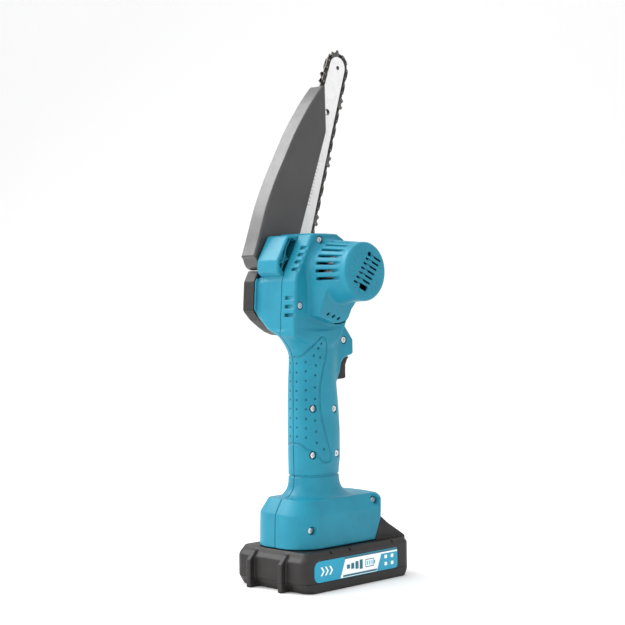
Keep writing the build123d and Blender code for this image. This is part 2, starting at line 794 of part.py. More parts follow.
def gear_outline(teeth, addendum, phase, centre):
    """Involute spur gear outline, 20 degree pressure angle."""
    pressure = math.radians(20)
    flank_points = 5
    pitch_r = MODULE * teeth / 2
    base_r = pitch_r * math.cos(pressure)
    tip_r, root_r = pitch_r + addendum, pitch_r - DEDENDUM

    def involute(angle):
        return math.tan(angle) - angle

    def half_angle(radius):
        """Half the tooth's angle; constant below the base circle."""
        roll = math.acos(min(1.0, base_r / radius))
        tooth = math.pi / (2 * teeth) - BACKLASH / (2 * pitch_r)
        return tooth + involute(pressure) - involute(roll)

    first = max(root_r, base_r)
    radii = [first + (tip_r - first) * k / (flank_points - 1) for k in range(flank_points)]
    if root_r < base_r:
        radii = [root_r] + radii
    points = []
    for tooth in range(teeth):
        middle = phase + 2 * math.pi * tooth / teeth
        points += [polar(centre, middle - half_angle(r), r) for r in radii]
        points += [polar(centre, middle + half_angle(r), r) for r in reversed(radii)]
    return points


def drive_sprocket():
    thickness = 4.0
    # the first gap points away from the bar nose
    first_gap = math.atan2(-math.cos(BAR_TILT), -math.sin(BAR_TILT))
    with BuildPart() as piece:
        with BuildSketch(at_y(BAR_Y + thickness / 2)):
            disc(SPROCKET, 13.2, bore=SHAFT_R)
            for k in range(TEETH):
                angle = first_gap + 2 * math.pi * k / TEETH
                Polygon(
                    *[polar(SPROCKET, angle, out, across) for out, across in SPROCKET_GAP],
                    mode=CUT,
                )
        extrude(amount=thickness)
    return piece.part


def output_shaft():
    with BuildPart() as piece:
        with BuildSketch(at_y(35.6)):
            disc(SPROCKET, SHAFT_R)
        extrude(amount=35.0)
        # collar between the outer bearing and the sprocket
        with BuildSketch(at_y(29.2)):
            disc(SPROCKET, 5.5)
        extrude(amount=3.9)
        # groove for the retaining clip
        with BuildSketch(at_y(CLIP_Y + FIT)):
            disc(SPROCKET, 4.5, bore=CLIP_BORE_R)
        extrude(amount=CLIP_T + 2 * FIT, mode=CUT)
    return piece.part


def sprocket_clip():
    """Ring with a gap at the bottom."""
    with BuildPart() as piece:
        with BuildSketch(at_y(CLIP_Y)):
            disc(SPROCKET, 5.6, bore=CLIP_BORE_R)
            with Locations((SPROCKET[0], SPROCKET[1] - 5.0)):
                Rectangle(3.4, 5.0, mode=CUT)
        extrude(amount=CLIP_T)
    return piece.part


def spur_gear():
    with BuildPart() as piece:
        with BuildSketch(at_y(16.0)):
            Polygon(*gear_outline(GEAR_TEETH, 0.75, MESH_ANGLE, SPROCKET))
            disc(SPROCKET, SHAFT_R, mode=CUT)
        extrude(amount=7.0)
    return piece.part


# Each bearing is one solid ring, in which the shaft runs free.
def output_bearing_outer():
    return turned(SPROCKET, (25.2, 7.0, OUTER_BEARING_R, SHAFT_R + FIT))


def output_bearing_inner():
    return turned(SPROCKET, (5.5, 5.0, INNER_BEARING_R, SHAFT_R + FIT))


def gear_plate():
    """Plate that joins the motor's +Y end and the inner bearing seat."""
    plate_t = 4.0
    with BuildPart() as piece:
        with BuildSketch(at_y(GEAR_PLATE_Y)):
            disc(ROTOR, CAN_R)
            disc(SPROCKET, 13.0)
            disc(ROTOR, 6.1, mode=CUT)
            disc(SPROCKET, 5.0, mode=CUT)
        extrude(amount=plate_t)
        # bearing seat ring and its bore
        with BuildSketch(at_y(6.0)):
            disc(SPROCKET, 10.0, bore=INNER_BEARING_R)
        extrude(amount=5.5)
        with BuildSketch(at_y(5.6)):
            disc(SPROCKET, INNER_BEARING_R)
        extrude(amount=5.2, mode=CUT)
    return piece.part


def motor_can():
    """Motor can with a boss at +Y, a bore for the rotor shaft and a hollow."""
    with BuildPart() as piece:
        with BuildSketch(at_y(-2.1)):
            disc(ROTOR, CAN_R)
        extrude(amount=38.0)
        chamfer(piece.faces().sort_by(Axis.Y)[0].edges(), length=1.5)
        with BuildSketch(at_y(GEAR_PLATE_Y)):
            disc(ROTOR, 6.0)
        extrude(amount=4.2)
        with BuildSketch(at_y(GEAR_PLATE_Y + 1.0)):
            disc(ROTOR, ROTOR_SHAFT_R + FIT)
        extrude(amount=50.0, mode=CUT)
        # hollow around the rotor pack
        with BuildSketch(at_y(-6.0)):
            disc(ROTOR, 13.5)
        extrude(amount=30.0, mode=CUT)
    return piece.part


def motor_rotor():
    """Shaft with a laminated pack notched between its three poles."""
    poles, notch_r, notch_centre_r = 3, 3.0, 11.5
    with BuildPart() as piece:
        with BuildSketch(at_y(PINION_Y)):
            disc(ROTOR, ROTOR_SHAFT_R)
        extrude(amount=63.5)
        with BuildSketch(at_y(-9.0)):
            disc(ROTOR, 12.6)
            for k in range(poles):
                angle = math.radians(90 + 360 / poles * k)
                disc(polar(ROTOR, angle, notch_centre_r), notch_r, mode=CUT)
        extrude(amount=22.0)
    return piece.part


def motor_pinion():
    # half a tooth pitch from the mesh line, so that a gap meets the gear's tooth
    phase = MESH_ANGLE + math.pi + math.pi / PINION_TEETH
    with BuildPart() as piece:
        with BuildSketch(at_y(PINION_Y)):
            Polygon(*gear_outline(PINION_TEETH, 1.0, phase, ROTOR))
            disc(ROTOR, ROTOR_SHAFT_R, mode=CUT)
        extrude(amount=8.0)
    return piece.part


def cooling_fan():
    """Fan at the motor's -Y end: hub, disc and blades."""
    fan_y, blades = -41.2, 7
    with BuildPart() as piece:
        with BuildSketch(at_y(fan_y)):
            disc(ROTOR, 5.0, bore=ROTOR_SHAFT_R)
        extrude(amount=5.4)
        with BuildSketch(at_y(fan_y)):
            disc(ROTOR, 16.5, bore=ROTOR_SHAFT_R)
        extrude(amount=1.0)
        with BuildSketch(at_y(fan_y - 0.8)):
            for k in range(blades):
                angle = 2 * math.pi * k / blades
                Polygon(*[polar(ROTOR, angle, out, across) for out, across in FAN_BLADE])
        extrude(amount=4.4)
    return piece.part


# ================================================================ GUARD
GUARD_HINGE_R = 9.0
GUARD = [
    (28.4, 396.6), (16.2, 382.8), (-1.3, 358.9), (-14.5, 336.6), (-24.9, 318.6),
    (-35.3, 297.0), (-41.8, 279.5), (-49.2, 255.9), (-46.8, 254.0),
] + [
    polar(PIVOT, math.radians(degrees), GUARD_HINGE_R)
    for degrees in (180, 200, 220, 240, 260, 270)
] + [
    (-28.0, 246.4), (-17.5, 249.8), (-4.6, 264.6), (0.2, 275.8), (30.9, 359.9), (29.9, 397.0),
]
# runs out past the guard's +X edge, where the guard is open
GUARD_CAVITY = [
    (24.0, 388.2), (17.6, 380.6), (0.9, 357.6), (-12.2, 335.3), (-22.6, 317.4), (-32.9, 296.0),
    (-39.3, 278.7), (-44.8, 261.0), (-44.6, 256.0), (-43.0, 250.6), (-38.5, 247.7),
    (-32.5, 248.2), (-31.5, 240.0), (60.0, 240.0), (60.0, 420.0), (28.0, 420.0),
    (28.0, 392.6), (26.9, 392.2),
]
GUARD_Y, GUARD_T = 40.2, 16.4
GUARD_SKIN = 2.4


def chain_guard():
    with BuildPart() as piece:
        with BuildSketch(at_y(GUARD_Y)):
            Polygon(*GUARD)
        extrude(amount=GUARD_T)
        near_face = piece.faces().filter_by(Axis.Y).sort_by(Axis.Y)[0]
        chamfer(near_face.edges().sort_by(Axis.X)[0:4], length=1.2)
        with BuildSketch(at_y(GUARD_Y - GUARD_SKIN)):
            Polygon(*GUARD_CAVITY)
        extrude(amount=GUARD_T - 2 * GUARD_SKIN, mode=CUT)
        # hinge bore through both walls
        with BuildSketch(at_y(41.0)):
            disc(PIVOT, PIN_R + FIT)
        extrude(amount=18.0, mode=CUT)
    return piece.part


def guard_pivot_pin():
    head_t = 1.6
    pin_y = GUARD_Y + 0.2
    with BuildPart() as piece:
        with BuildSketch(at_y(pin_y)):
            disc(PIVOT, PIN_R)
        extrude(amount=34.0)
        with BuildSketch(at_y(pin_y + head_t)):
            disc(PIVOT, 4.2)
        extrude(amount=head_t)
        chamfer(piece.faces().sort_by(Axis.Y)[-1].edges(), length=0.6)
    return piece.part


def guard_spring():
    """Coil around the pin inside the guard."""
    return coil_spring(
        pitch=1.45, height=7.2, radius=3.9, wire_r=0.5,
        start=(PIVOT[0], 36.2, PIVOT[1]), direction=(0, -1, 0),
    )


# ================================================================ TRIGGER GROUP
TRIGGER = [
    (20.6, 172.6), (20.2, 158.8), (17.4, 158.2), (8.0, 157.6), (2.5, 158.6), (2.5, 172.6),
]
SWITCH = [(-24.0, 150.0), (-6.2, 150.0), (-6.2, 178.0), (-24.0, 178.0)]
TRIGGER_SPRING_Z = 166.0


def trigger():
    half_width = 4.9
    with BuildPart() as piece:
        with BuildSketch(at_y(half_width)):
            Polygon(*TRIGGER)
        extrude(amount=2 * half_width)
        chamfer(piece.edges().filter_by(Axis.Z, 4).sort_by(Axis.X)[-2:], length=1.4)
        # bore for the return spring
        with BuildSketch(Plane.YZ.offset(2.0)):
            disc((0, TRIGGER_SPRING_Z), 2.9)
        extrude(amount=9.0, mode=CUT)
    return piece.part


def trigger_spring():
    return coil_spring(
        pitch=2.4, height=15.0, radius=2.1, wire_r=0.3,
        start=(-4.6, 0, TRIGGER_SPRING_Z), direction=(1, 0, 0),
    )


def trigger_switch():
    half_width = 8.0
    with BuildPart() as piece:
        with BuildSketch(at_y(half_width)):
            Polygon(*SWITCH)
        extrude(amount=2 * half_width)
        chamfer(piece.edges().filter_by(Axis.Y), length=0.8)
    return piece.part


def lock_off_button():
    """Round flanged button through the +Y side above the trigger."""
    with BuildPart() as piece:
        with BuildSketch(at_y(25.2)):
            disc(LOCK, 4.0)
        extrude(amount=7.0)
        chamfer(piece.faces().sort_by(Axis.Y)[-1].edges(), length=0.8)
        with BuildSketch(at_y(19.2)):
            disc(LOCK, 5.0)
        extrude(amount=1.4)
    return piece.part


def lock_off_spring():
    return coil_spring(
        pitch=1.9, height=6.8, radius=2.6, wire_r=0.25,
        start=(LOCK[0], 17.4, LOCK[1]), direction=(0, -1, 0),
    )


# ================================================================ ELECTRICS
TERMINALS = [(-28.0, -9.0), (-28.0, 0.0), (-28.0, 9.0)]   # x, y
BOARD_Z, BOARD_T = 56.0, 1.6


def control_board():
    """Board with two square and two round components."""
    with BuildPart() as piece:
        with BuildSketch(Plane.XY.offset(BOARD_Z)):
            with Locations((-9.0, 0)):
                Rectangle(56.0, 34.0)
        extrude(amount=BOARD_T)
        with BuildSketch(Plane.XY.offset(BOARD_Z + BOARD_T)):
            with Locations((-26.0, 8.0), (-26.0, -8.0)):
                Rectangle(9.0, 9.0)
            with Locations((6.0, 8.0), (6.0, -7.0)):
                Circle(2.6)
        extrude(amount=4.0)
    return piece.part


def terminal_block():
    height = 9.0
    with BuildPart() as piece:
        with BuildSketch(Plane.XY.offset(44.6)):
            with Locations(TERMINALS[1]):
                Rectangle(16.0, 30.0)
        extrude(amount=height)
        # slots from the top
        with BuildSketch(Plane.XY.offset(54.0)):
            with Locations(*TERMINALS):
                Rectangle(9.0, 1.2)
        extrude(amount=-height, mode=CUT)
    return piece.part


def power_wires():
    """Wires from the control board to the switch."""
    return wire_pair(
        points=[(-14.0, -4.0, 58.2), (-17.0, -4.0, 90.0), (-13.0, -4.0, 120.0),
                (-15.0, -4.0, 149.4)],
        tangents=((0, 0, 1), (0, 0, 1)),
        wire_r=1.3,
    )


def motor_wires():
    """Wires from the switch up into the head."""
    return wire_pair(
        points=[(-15.0, -3.0, 178.6), (-21.0, -3.0, 196.0), (-28.0, -3.0, 214.0)],
        tangents=((0, 0, 1), (-0.2, 0, 1)),
        wire_r=1.2,
    )


# ================================================================ BATTERY
PACK_L, PACK_W = 120.6, 78.0           # plan size
PACK_CORNER_R = 8
PACK_TOP = 30.5                        # top deck of the pack
TOWER_TOP = 41.0                       # slide tower on the pack
BACK_X = -PACK_L / 2                   # -X end of the pack
BOTTOM_EDGE = 0.7                      # bevel around the bottom face
SPLIT_Z = 7.4                          # joint between tray and upper case
CAVITY_W, CAVITY_CORNER_R = PACK_W - 5.2, 6
END_CUT_Y, END_CUT_W = 45.0, 90.0      # cutters wider than the pack
FIN_Y, FIN_T = 17.25, 4.0
CASE_SCREWS = [(-46.0, 28.5), (-46.0, -28.5), (50.5, 28.5), (50.5, -28.5)]  # x, y
LABEL_CENTRE = (-3.4, 15.9)            # x, z
CELLS, CELL_R, CELL_PITCH = 5, 9.2, 20.4
LATCH_X = 48.5

LATCH_HUMP = [
    (29.2, 29.0), (29.2, 32.2), (35.9, 48.4), (37.5, 47.6), (43.1, 43.0), (51.0, 37.6),
    (59.2, 32.0), (60.3, 30.5), (60.3, 20.0), (40.0, 20.0),
]
LATCH = [
    (42.3, 30.2), (54.7, 30.2), (54.7, 34.6), (53.4, 36.0), (44.0, 42.6), (42.3, 43.6),
]
# slide tower with undercut grooves, (y, z)
TOWER = [
    (-18.8, 30.0), (-15.6, 30.0), (-15.6, 32.6), (-15.6, 36.6), (-18.8, 36.6),
    (-18.8, TOWER_TOP), (18.8, TOWER_TOP), (18.8, 36.6), (15.6, 36.6), (15.6, 30.0),
]
FIN = [
    (BACK_X - 5.0, SPLIT_Z), (BACK_X + 5.0, SPLIT_Z), (BACK_X + 5.0, 28.6),
    (BACK_X + 1.2, 27.8), (BACK_X - 5.0, 21.3),
]


def battery_case_lower():
    """Lower tray."""
    with BuildPart() as piece:
        with BuildSketch(Plane.XY):
            RectangleRounded(
                PACK_L - 2 * BOTTOM_EDGE, PACK_W - 2 * BOTTOM_EDGE, PACK_CORNER_R - BOTTOM_EDGE
            )
        with BuildSketch(Plane.XY.offset(BOTTOM_EDGE)):
            RectangleRounded(PACK_L, PACK_W, PACK_CORNER_R)
        loft(ruled=True)
        with BuildSketch(Plane.XY.offset(BOTTOM_EDGE)):
            RectangleRounded(PACK_L, PACK_W, PACK_CORNER_R)
        extrude(amount=SPLIT_Z - BOTTOM_EDGE)
        # slanting underside at the -X end
        with BuildSketch(at_y(END_CUT_Y)):
            Polygon((BACK_X - 1.0, 8.1), (BACK_X + 7.3, -1.0), (BACK_X - 1.0, -1.0))
        extrude(amount=END_CUT_W, mode=CUT)
        with BuildSketch(Plane.XY.offset(2.4)):
            with Locations((2.3, 0)):
                RectangleRounded(PACK_L - 9.8, CAVITY_W, CAVITY_CORNER_R)
        extrude(amount=6.0, mode=CUT)
        # two stiffening fins at the -X end
        with BuildSketch(Plane.XY):
            with Locations((BACK_X + 1.0, FIN_Y), (BACK_X + 1.0, -FIN_Y)):
                Rectangle(12.0, FIN_T)
        extrude(amount=SPLIT_Z)
        # screw recesses in the underside
        with BuildSketch(Plane.XY.offset(-1.0)):
            with Locations(*CASE_SCREWS):
                Circle(3.0)
        extrude(amount=2.7, mode=CUT)
    return piece.part


def battery_case_upper():
    """Upper case with the slide tower and the latch hump."""
    shoulder_z = 26.0
    hump_half = 33.0
    with BuildPart() as piece:
        with BuildSketch(Plane.XY.offset(SPLIT_Z)):
            RectangleRounded(PACK_L, PACK_W, PACK_CORNER_R)
        extrude(amount=shoulder_z - SPLIT_Z)
        with BuildSketch(Plane.XY.offset(shoulder_z)):
            RectangleRounded(PACK_L, PACK_W, PACK_CORNER_R)
        with BuildSketch(Plane.XY.offset(PACK_TOP)):
            RectangleRounded(PACK_L - 1.2, PACK_W - 7.0, PACK_CORNER_R - 1)
        loft(ruled=True)
        # slanting top at the -X end
        with BuildSketch(at_y(END_CUT_Y)):
            Polygon((BACK_X - 1.0, 23.0), (BACK_X + 8.0, 32.0), (BACK_X - 1.0, 32.0))
        extrude(amount=END_CUT_W, mode=CUT)
        # latch hump, sloping down to the +X end
        with BuildSketch(at_y(hump_half)):
            Polygon(*LATCH_HUMP)
        extrude(amount=2 * hump_half)
        with BuildSketch(Plane.YZ.offset(-44.0)):
            Polygon(*TOWER)
        extrude(amount=70.0)
        for y in (FIN_Y, -FIN_Y):
            with BuildSketch(at_y(y + FIN_T / 2)):
                Polygon(*FIN)
            extrude(amount=FIN_T)
        # hollow for the cells
        with BuildSketch(Plane.XY.offset(7.0)):
            with Locations((1.3, 0)):
                RectangleRounded(PACK_L - 7.8, CAVITY_W, CAVITY_CORNER_R)
        extrude(amount=18.4, mode=CUT)
        # label recess on the -Y side
        with BuildSketch(at_y(-PACK_W / 2 + 0.5)):
            with Locations(LABEL_CENTRE):
                RectangleRounded(95.0, 16.8, 3.7)
        extrude(amount=2.0, mode=CUT)
        # well for the latch button on the hump
        with BuildSketch(Plane.XY.offset(shoulder_z)):
            with Locations((LATCH_X, 0)):
                Rectangle(13.0, 36.0)
        extrude(amount=25.0, mode=CUT)
        # terminal slots in the tower
        with BuildSketch(Plane.XY.offset(36.5)):
            with Locations(*TERMINALS):
                Rectangle(14.0, 1.6)
        extrude(amount=6.0, mode=CUT)
    return piece.part


def battery_cells():
    """Row of cells lying along Y."""
    half_length = 33.0
    with BuildPart() as piece:
        for k in range(CELLS):
            with BuildSketch(at_y(half_length)):
                disc((-41.0 + CELL_PITCH * k, 12.9), CELL_R)
            extrude(amount=2 * half_length)
    return piece.part


def battery_terminals():
    with BuildPart() as piece:
        with BuildSketch(Plane.XY.offset(36.8)):
            with Locations(*TERMINALS):
                Rectangle(8.0, 0.8)
        extrude(amount=4.2)
    return piece.part


def battery_label():
    with BuildPart() as piece:
        with BuildSketch(at_y(-PACK_W / 2 + 0.45)):
            with Locations(LABEL_CENTRE):
                RectangleRounded(94.4, 16.2, 3.4)
        extrude(amount=0.4)
    return piece.part


def battery_latch():
    half_width = 17.7
    with BuildPart() as piece:
        with BuildSketch(at_y(half_width)):
            Polygon(*LATCH)
        extrude(amount=2 * half_width)
        ends = piece.faces().sort_by(Axis.Y)
        chamfer(ends[0].edges() + ends[-1].edges(), length=0.5)
    return piece.part


def latch_spring():
    return coil_spring(
        pitch=1.1, height=3.3, radius=3.2, wire_r=0.3,
        start=(LATCH_X, 0.0, 26.4), direction=(0, 0, 1),
    )


def battery_case_screws():
    """Screw heads in the tray's underside, with hexagonal recesses."""
    with BuildPart() as piece:
        with BuildSketch(Plane.XY.offset(0.5)):
            with Locations(*CASE_SCREWS):
                Circle(2.6)
        extrude(amount=1.2)
        with BuildSketch(Plane.XY.offset(0.4)):
            with Locations(*CASE_SCREWS):
                RegularPolygon(radius=1.5, side_count=6)
        extrude(amount=0.8, mode=CUT)
    return piece.part


# ================================================================ EXPORT
PIECES = [
    motor_side_housing, sprocket_side_housing, motor_end_cap, housing_screws,
    sprocket_cover, bar_plate, bar_stud, cover_nut, guide_bar,
    chain_drive_links, chain_tie_straps, chain_cutters_left, chain_cutters_right, chain_rivets,
    drive_sprocket, output_shaft, sprocket_clip, spur_gear,
    output_bearing_outer, output_bearing_inner, gear_plate,
    motor_can, motor_rotor, motor_pinion, cooling_fan,
    chain_guard, guard_pivot_pin, guard_spring,
    trigger, trigger_spring, trigger_switch, lock_off_button, lock_off_spring,
    control_board, terminal_block, power_wires, motor_wires,
    battery_case_lower, battery_case_upper, battery_cells, battery_terminals,
    battery_label, battery_latch, latch_spring, battery_case_screws,
]

for build in PIECES:
    part = build()
    part.label = build.__name__
    export_step(part, f"parts/{build.__name__}.step")
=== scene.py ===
# A small battery chainsaw standing on its battery pack, with the guide bar pointing up.
# +Z is up and the floor is at z = 0. The trigger is on the +X side of the grip, the back of
# the grip faces -X, the motor barrel points to -Y and the sprocket cover lies on the +Y side.
# The bar leans from the head towards +X. Shapes are modelled in millimetres as signed
# distance fields (negative inside) and turned into meshes in metres.
import math
from functools import reduce

import bpy
import bmesh
import numpy as np
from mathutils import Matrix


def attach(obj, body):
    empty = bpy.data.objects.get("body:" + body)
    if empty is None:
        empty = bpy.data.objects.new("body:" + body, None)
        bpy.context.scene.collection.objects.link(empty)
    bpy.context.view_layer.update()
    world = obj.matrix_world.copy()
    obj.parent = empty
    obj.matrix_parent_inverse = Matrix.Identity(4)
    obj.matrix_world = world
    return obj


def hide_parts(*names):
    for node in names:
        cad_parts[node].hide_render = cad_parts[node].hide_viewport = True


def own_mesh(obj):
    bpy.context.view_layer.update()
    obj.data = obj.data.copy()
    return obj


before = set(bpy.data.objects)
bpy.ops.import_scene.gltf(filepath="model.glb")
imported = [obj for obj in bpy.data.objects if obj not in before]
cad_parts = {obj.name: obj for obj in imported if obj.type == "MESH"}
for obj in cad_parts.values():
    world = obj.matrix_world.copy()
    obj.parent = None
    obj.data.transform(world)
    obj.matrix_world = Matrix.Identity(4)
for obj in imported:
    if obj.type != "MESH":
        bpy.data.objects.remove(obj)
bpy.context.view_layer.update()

import openvdb
from mathutils import Vector, Matrix

F = np.float32
MM = 0.001

# =====================================================================
# places shared by several pieces: (x, z) in mm unless noted
# =====================================================================
MOTOR_X, MOTOR_Z = MOTOR_AXIS = (-5.3, 243.0)
GUARD_PIVOT = (-38.5, 254.0)
PIVOT_HOLE = 2.55
LOCK_AXIS = (-7.0, 190.5)
BAR_TAIL = (-11.276, 224.591)
BAR_LEAN = math.radians(18.5)
STUD_RISE = 30              # from the tail point up the bar
STUD = (
    BAR_TAIL[0] + STUD_RISE * math.sin(BAR_LEAN),
    BAR_TAIL[1] + STUD_RISE * math.cos(BAR_LEAN),
)
LABEL_X, LABEL_Z = LABEL_CENTRE = (-3.4, 15.9)
LABEL_HALF_X, LABEL_HALF_Z = 47.2, 8.1


# =====================================================================
# distance fields
# =====================================================================
class Grid:
    """Regular sample points; axes are x, y and z arrays that broadcast together."""

    def __init__(self, low, high, quick, full):
        self.step = full
        self.low = np.array(low, float)
        span = np.array(high, float) - self.low
        self.count = np.ceil(span / self.step).astype(int) + 1
        self.axes = [
            (self.low[k] + self.step * np.arange(self.count[k])).astype(F)
            .reshape([-1 if axis == k else 1 for axis in range(3)])
            for k in range(3)
        ]


def both(*fields):
    """What all fields share."""
    return reduce(np.maximum, fields)


def either(*fields):
    """What any field covers."""
    return reduce(np.minimum, fields)


def smin(one, other, blend):
    """Union with a rounded seam."""
    if blend <= 0:
        return np.minimum(one, other)
    mix_in = np.clip(0.5 + 0.5 * (other - one) / blend, 0, 1)
    return other + (one - other) * mix_in - blend * mix_in * (1 - mix_in)


def smax(one, other, blend):
    """Intersection with a rounded edge."""
    return -smin(-one, -other, blend)


def cut(body, tool, blend=0.0):
    return smax(body, -tool, blend)


def slab(axis, centre, half):
    return np.abs(axis - centre) - half


def between(axis, low, high):
    return np.maximum(low - axis, axis - high)


def along(axis, stations, values):
    """Values interpolated between stations along one axis."""
    return np.interp(axis, stations, values).astype(F)


def plane(grid, normal, point):
    x, y, z = [(axis - place) * part for axis, place, part in zip(grid.axes, point, normal)]
    return x + y + z


def distance(u, v, centre):
    return np.sqrt((u - centre[0]) ** 2 + (v - centre[1]) ** 2)


def circle(u, v, centre, radius):
    return distance(u, v, centre) - radius


def rounded_corner(u, v, radius):
    """Corner of two faces, at distances u and v beyond the centre of its rounding."""
    outside = np.sqrt(np.maximum(u, 0) ** 2 + np.maximum(v, 0) ** 2)
    return outside + np.minimum(np.maximum(u, v), 0) - radius


def rounded_rect(u, v, centre, half, radius):
    return rounded_corner(
        slab(u, centre[0], half[0] - radius), slab(v, centre[1], half[1] - radius), radius
    )


def prism(outline, axis, low, high, radius=0.0):
    """Extrude a 2-D field along an axis, with rounded edges."""
    ends = slab(axis, (low + high) / 2, (high - low) / 2 - radius)
    return rounded_corner(outline + radius, ends, radius)


def polyline(u, v, points, closed=False):
    """Distance to a run of straight segments."""
    u, v = np.broadcast_arrays(u, v)
    nearest = np.full(u.shape, 1e9, F)
    for i in range(0 if closed else 1, len(points)):
        start_u, start_v = points[i]
        edge_u, edge_v = points[i - 1][0] - start_u, points[i - 1][1] - start_v
        off_u, off_v = u - start_u, v - start_v
        length2 = max(edge_u * edge_u + edge_v * edge_v, 1e-12)
        part = np.clip((off_u * edge_u + off_v * edge_v) / length2, 0, 1)
        gap2 = (off_u - edge_u * part) ** 2 + (off_v - edge_v * part) ** 2
        nearest = np.minimum(nearest, gap2)
    return np.sqrt(nearest).astype(F)


def polygon(u, v, points):
    """Signed distance to a closed polygon."""
    points = [(float(a), float(b)) for a, b in points]
    u, v = np.broadcast_arrays(u, v)
    inside = np.zeros(u.shape, bool)
    for i, (start_u, start_v) in enumerate(points):
        end_u, end_v = points[i - 1]
        above = v >= start_v
        below_end = v < end_v
        left = (end_u - start_u) * (v - start_v) > (end_v - start_v) * (u - start_u)
        inside ^= (above & below_end & left) | (~above & ~below_end & ~left)
    edge = polyline(u, v, points, closed=True)
    return np.where(inside, -edge, edge).astype(F)


def spline(points, steps):
    """Open Catmull-Rom curve through the points."""
    points = np.array(points, float)
    last = len(points) - 1
    curve = []
    for i in range(last):
        p0, p1, p2, p3 = points[max(i - 1, 0)], points[i], points[i + 1], points[min(i + 2, last)]
        for k in range(steps):
            t = k / steps
            curve.append(tuple(0.5 * (
                2 * p1 + (p2 - p0) * t + (2 * p0 - 5 * p1 + 4 * p2 - p3) * t * t
                + (3 * p1 - p0 - 3 * p2 + p3) * t ** 3
            )))
    curve.append(tuple(points[-1]))
    return curve


# =====================================================================
# fields to meshes
# =====================================================================
def trilinear(field, places):
    """Field values at fractional grid indices."""
    cell = np.clip(np.floor(places).astype(int), 0, np.array(field.shape) - 2)
    part = np.clip(places - cell, 0, 1)
    total = 0
    for corner in np.ndindex(2, 2, 2):
        weight = np.where(corner, part, 1 - part)
        values = field[tuple((cell + corner).T)]
        total = total + weight[:, 0] * weight[:, 1] * weight[:, 2] * values
    return total


def add_object(name, data):
    made = bpy.data.objects.new(name, data)
    bpy.context.scene.collection.objects.link(made)
    return made


def mount(piece, body, node_name):
    """Let a piece ride on a body in place of a CAD node."""
    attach(piece, body)
    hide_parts(node_name)


def settle(field, places):
    """Move mesh points onto the field's zero level."""
    for _ in range(3):
        value = trilinear(field, places)
        slope = np.stack([
            trilinear(field, places + half) - trilinear(field, places - half)
            for half in np.eye(3) * 0.5
        ], 1)
        slope2 = np.maximum((slope ** 2).sum(1), 1e-6)
        move = np.clip(value / np.sqrt(slope2), -0.4, 0.4)
        places = places - slope * (move / np.sqrt(slope2))[:, None] * 0.8
    return places


def surface(grid, field, name, body, node_name):
    """Turn a field into a smooth mesh piece."""
    step = grid.step
    field = np.array(np.broadcast_to(field, tuple(grid.count)), dtype=F, order="C")
    # closed at the grid's own walls
    for axis in range(3):
        for side in (0, -1):
            wall = [slice(None)] * 3
            wall[axis] = side
            wall = tuple(wall)
            field[wall] = np.maximum(field[wall], F(0.5 * step))
    limit = F(4 * step)
    volume = openvdb.FloatGrid(float(limit))
    volume.copyFromArray(np.clip(field, -limit, limit))
    places, tris, quads = volume.convertToPolygons(0.0, 0.0)
    quads = np.array(quads, int)
    tris = np.array(tris, int).reshape(-1, 3)
    places = settle(field, np.array(places, float))
    verts = (grid.low + places * step) * MM

    # outward winding, judged on the first quads
    some = quads[:4000]
    normal = np.cross(verts[some[:, 1]] - verts[some[:, 0]], verts[some[:, 2]] - verts[some[:, 0]])
    normal = normal / np.maximum(np.linalg.norm(normal, axis=1, keepdims=True), 1e-12)
    middle = verts[some].mean(1) * 1000
    ahead = trilinear(field, (middle + normal * step * 0.5 - grid.low) / step)
    behind = trilinear(field, (middle - normal * step * 0.5 - grid.low) / step)
    if np.median(ahead - behind) < 0:
        quads = quads[:, ::-1]
        tris = tris[:, ::-1]

    mesh = bpy.data.meshes.new(name)
    quad_count, tri_count = len(quads), len(tris)
    corners = np.concatenate([quads.ravel(), tris.ravel()])
    starts = np.concatenate(
        [np.arange(quad_count) * 4, 4 * quad_count + np.arange(tri_count) * 3]
    )
    mesh.vertices.add(len(verts))
    mesh.vertices.foreach_set("co", verts.astype(F).ravel())
    mesh.loops.add(len(corners))
    mesh.loops.foreach_set("vertex_index", corners.astype(np.int32))
    mesh.polygons.add(len(starts))
    mesh.polygons.foreach_set("loop_start", starts.astype(np.int32))
    mesh.update(calc_edges=True)
    mesh.validate()
    mesh.shade_smooth()
    piece = add_object(name, mesh)
    mount(piece, body, node_name)
    return piece


def close_bmesh(build, name):
    """Finish a bmesh with outward normals and return it as a mesh."""
    bmesh.ops.recalc_face_normals(build, faces=build.faces)
    mesh = bpy.data.meshes.new(name)
    build.to_mesh(mesh)
    build.free()
    return mesh


# =====================================================================
# outlines, (x, z) in mm
# =====================================================================
HEAD = [
    (-20.0, 188.0), (-36.0, 190.5), (-45.8, 193.9), (-46.1, 208.7), (-45.0, 220.5),
    (-44.4, 235.8), (-41.5, 244.4), (-31.2, 262.0), (-26.1, 272.0), (-24.0, 273.4),
    (-8.0, 273.5), (3.0, 273.3), (10.2, 269.5), (18.0, 262.0), (24.6, 250.0), (26.9, 238.0),
    (26.6, 227.0), (24.6, 219.8), (19.6, 214.4), (15.6, 208.9), (11.5, 200.5),
    (5.0, 190.0), (-5.0, 186.0),
]
# thicker part of the head on the +Y side
SWELL = [
    (-45.7, 200.0), (-45.8, 208.7), (-45.0, 220.5), (-44.4, 235.4), (-41.8, 239.4), (-38.0, 242.0),
    (-20.0, 244.8), (21.8, 244.8), (25.3, 232.0), (23.8, 219.2), (15.8, 207.2),
    (-2.0, 197.2), (-12.4, 194.7), (-26.0, 197.7), (-41.0, 204.2),
]
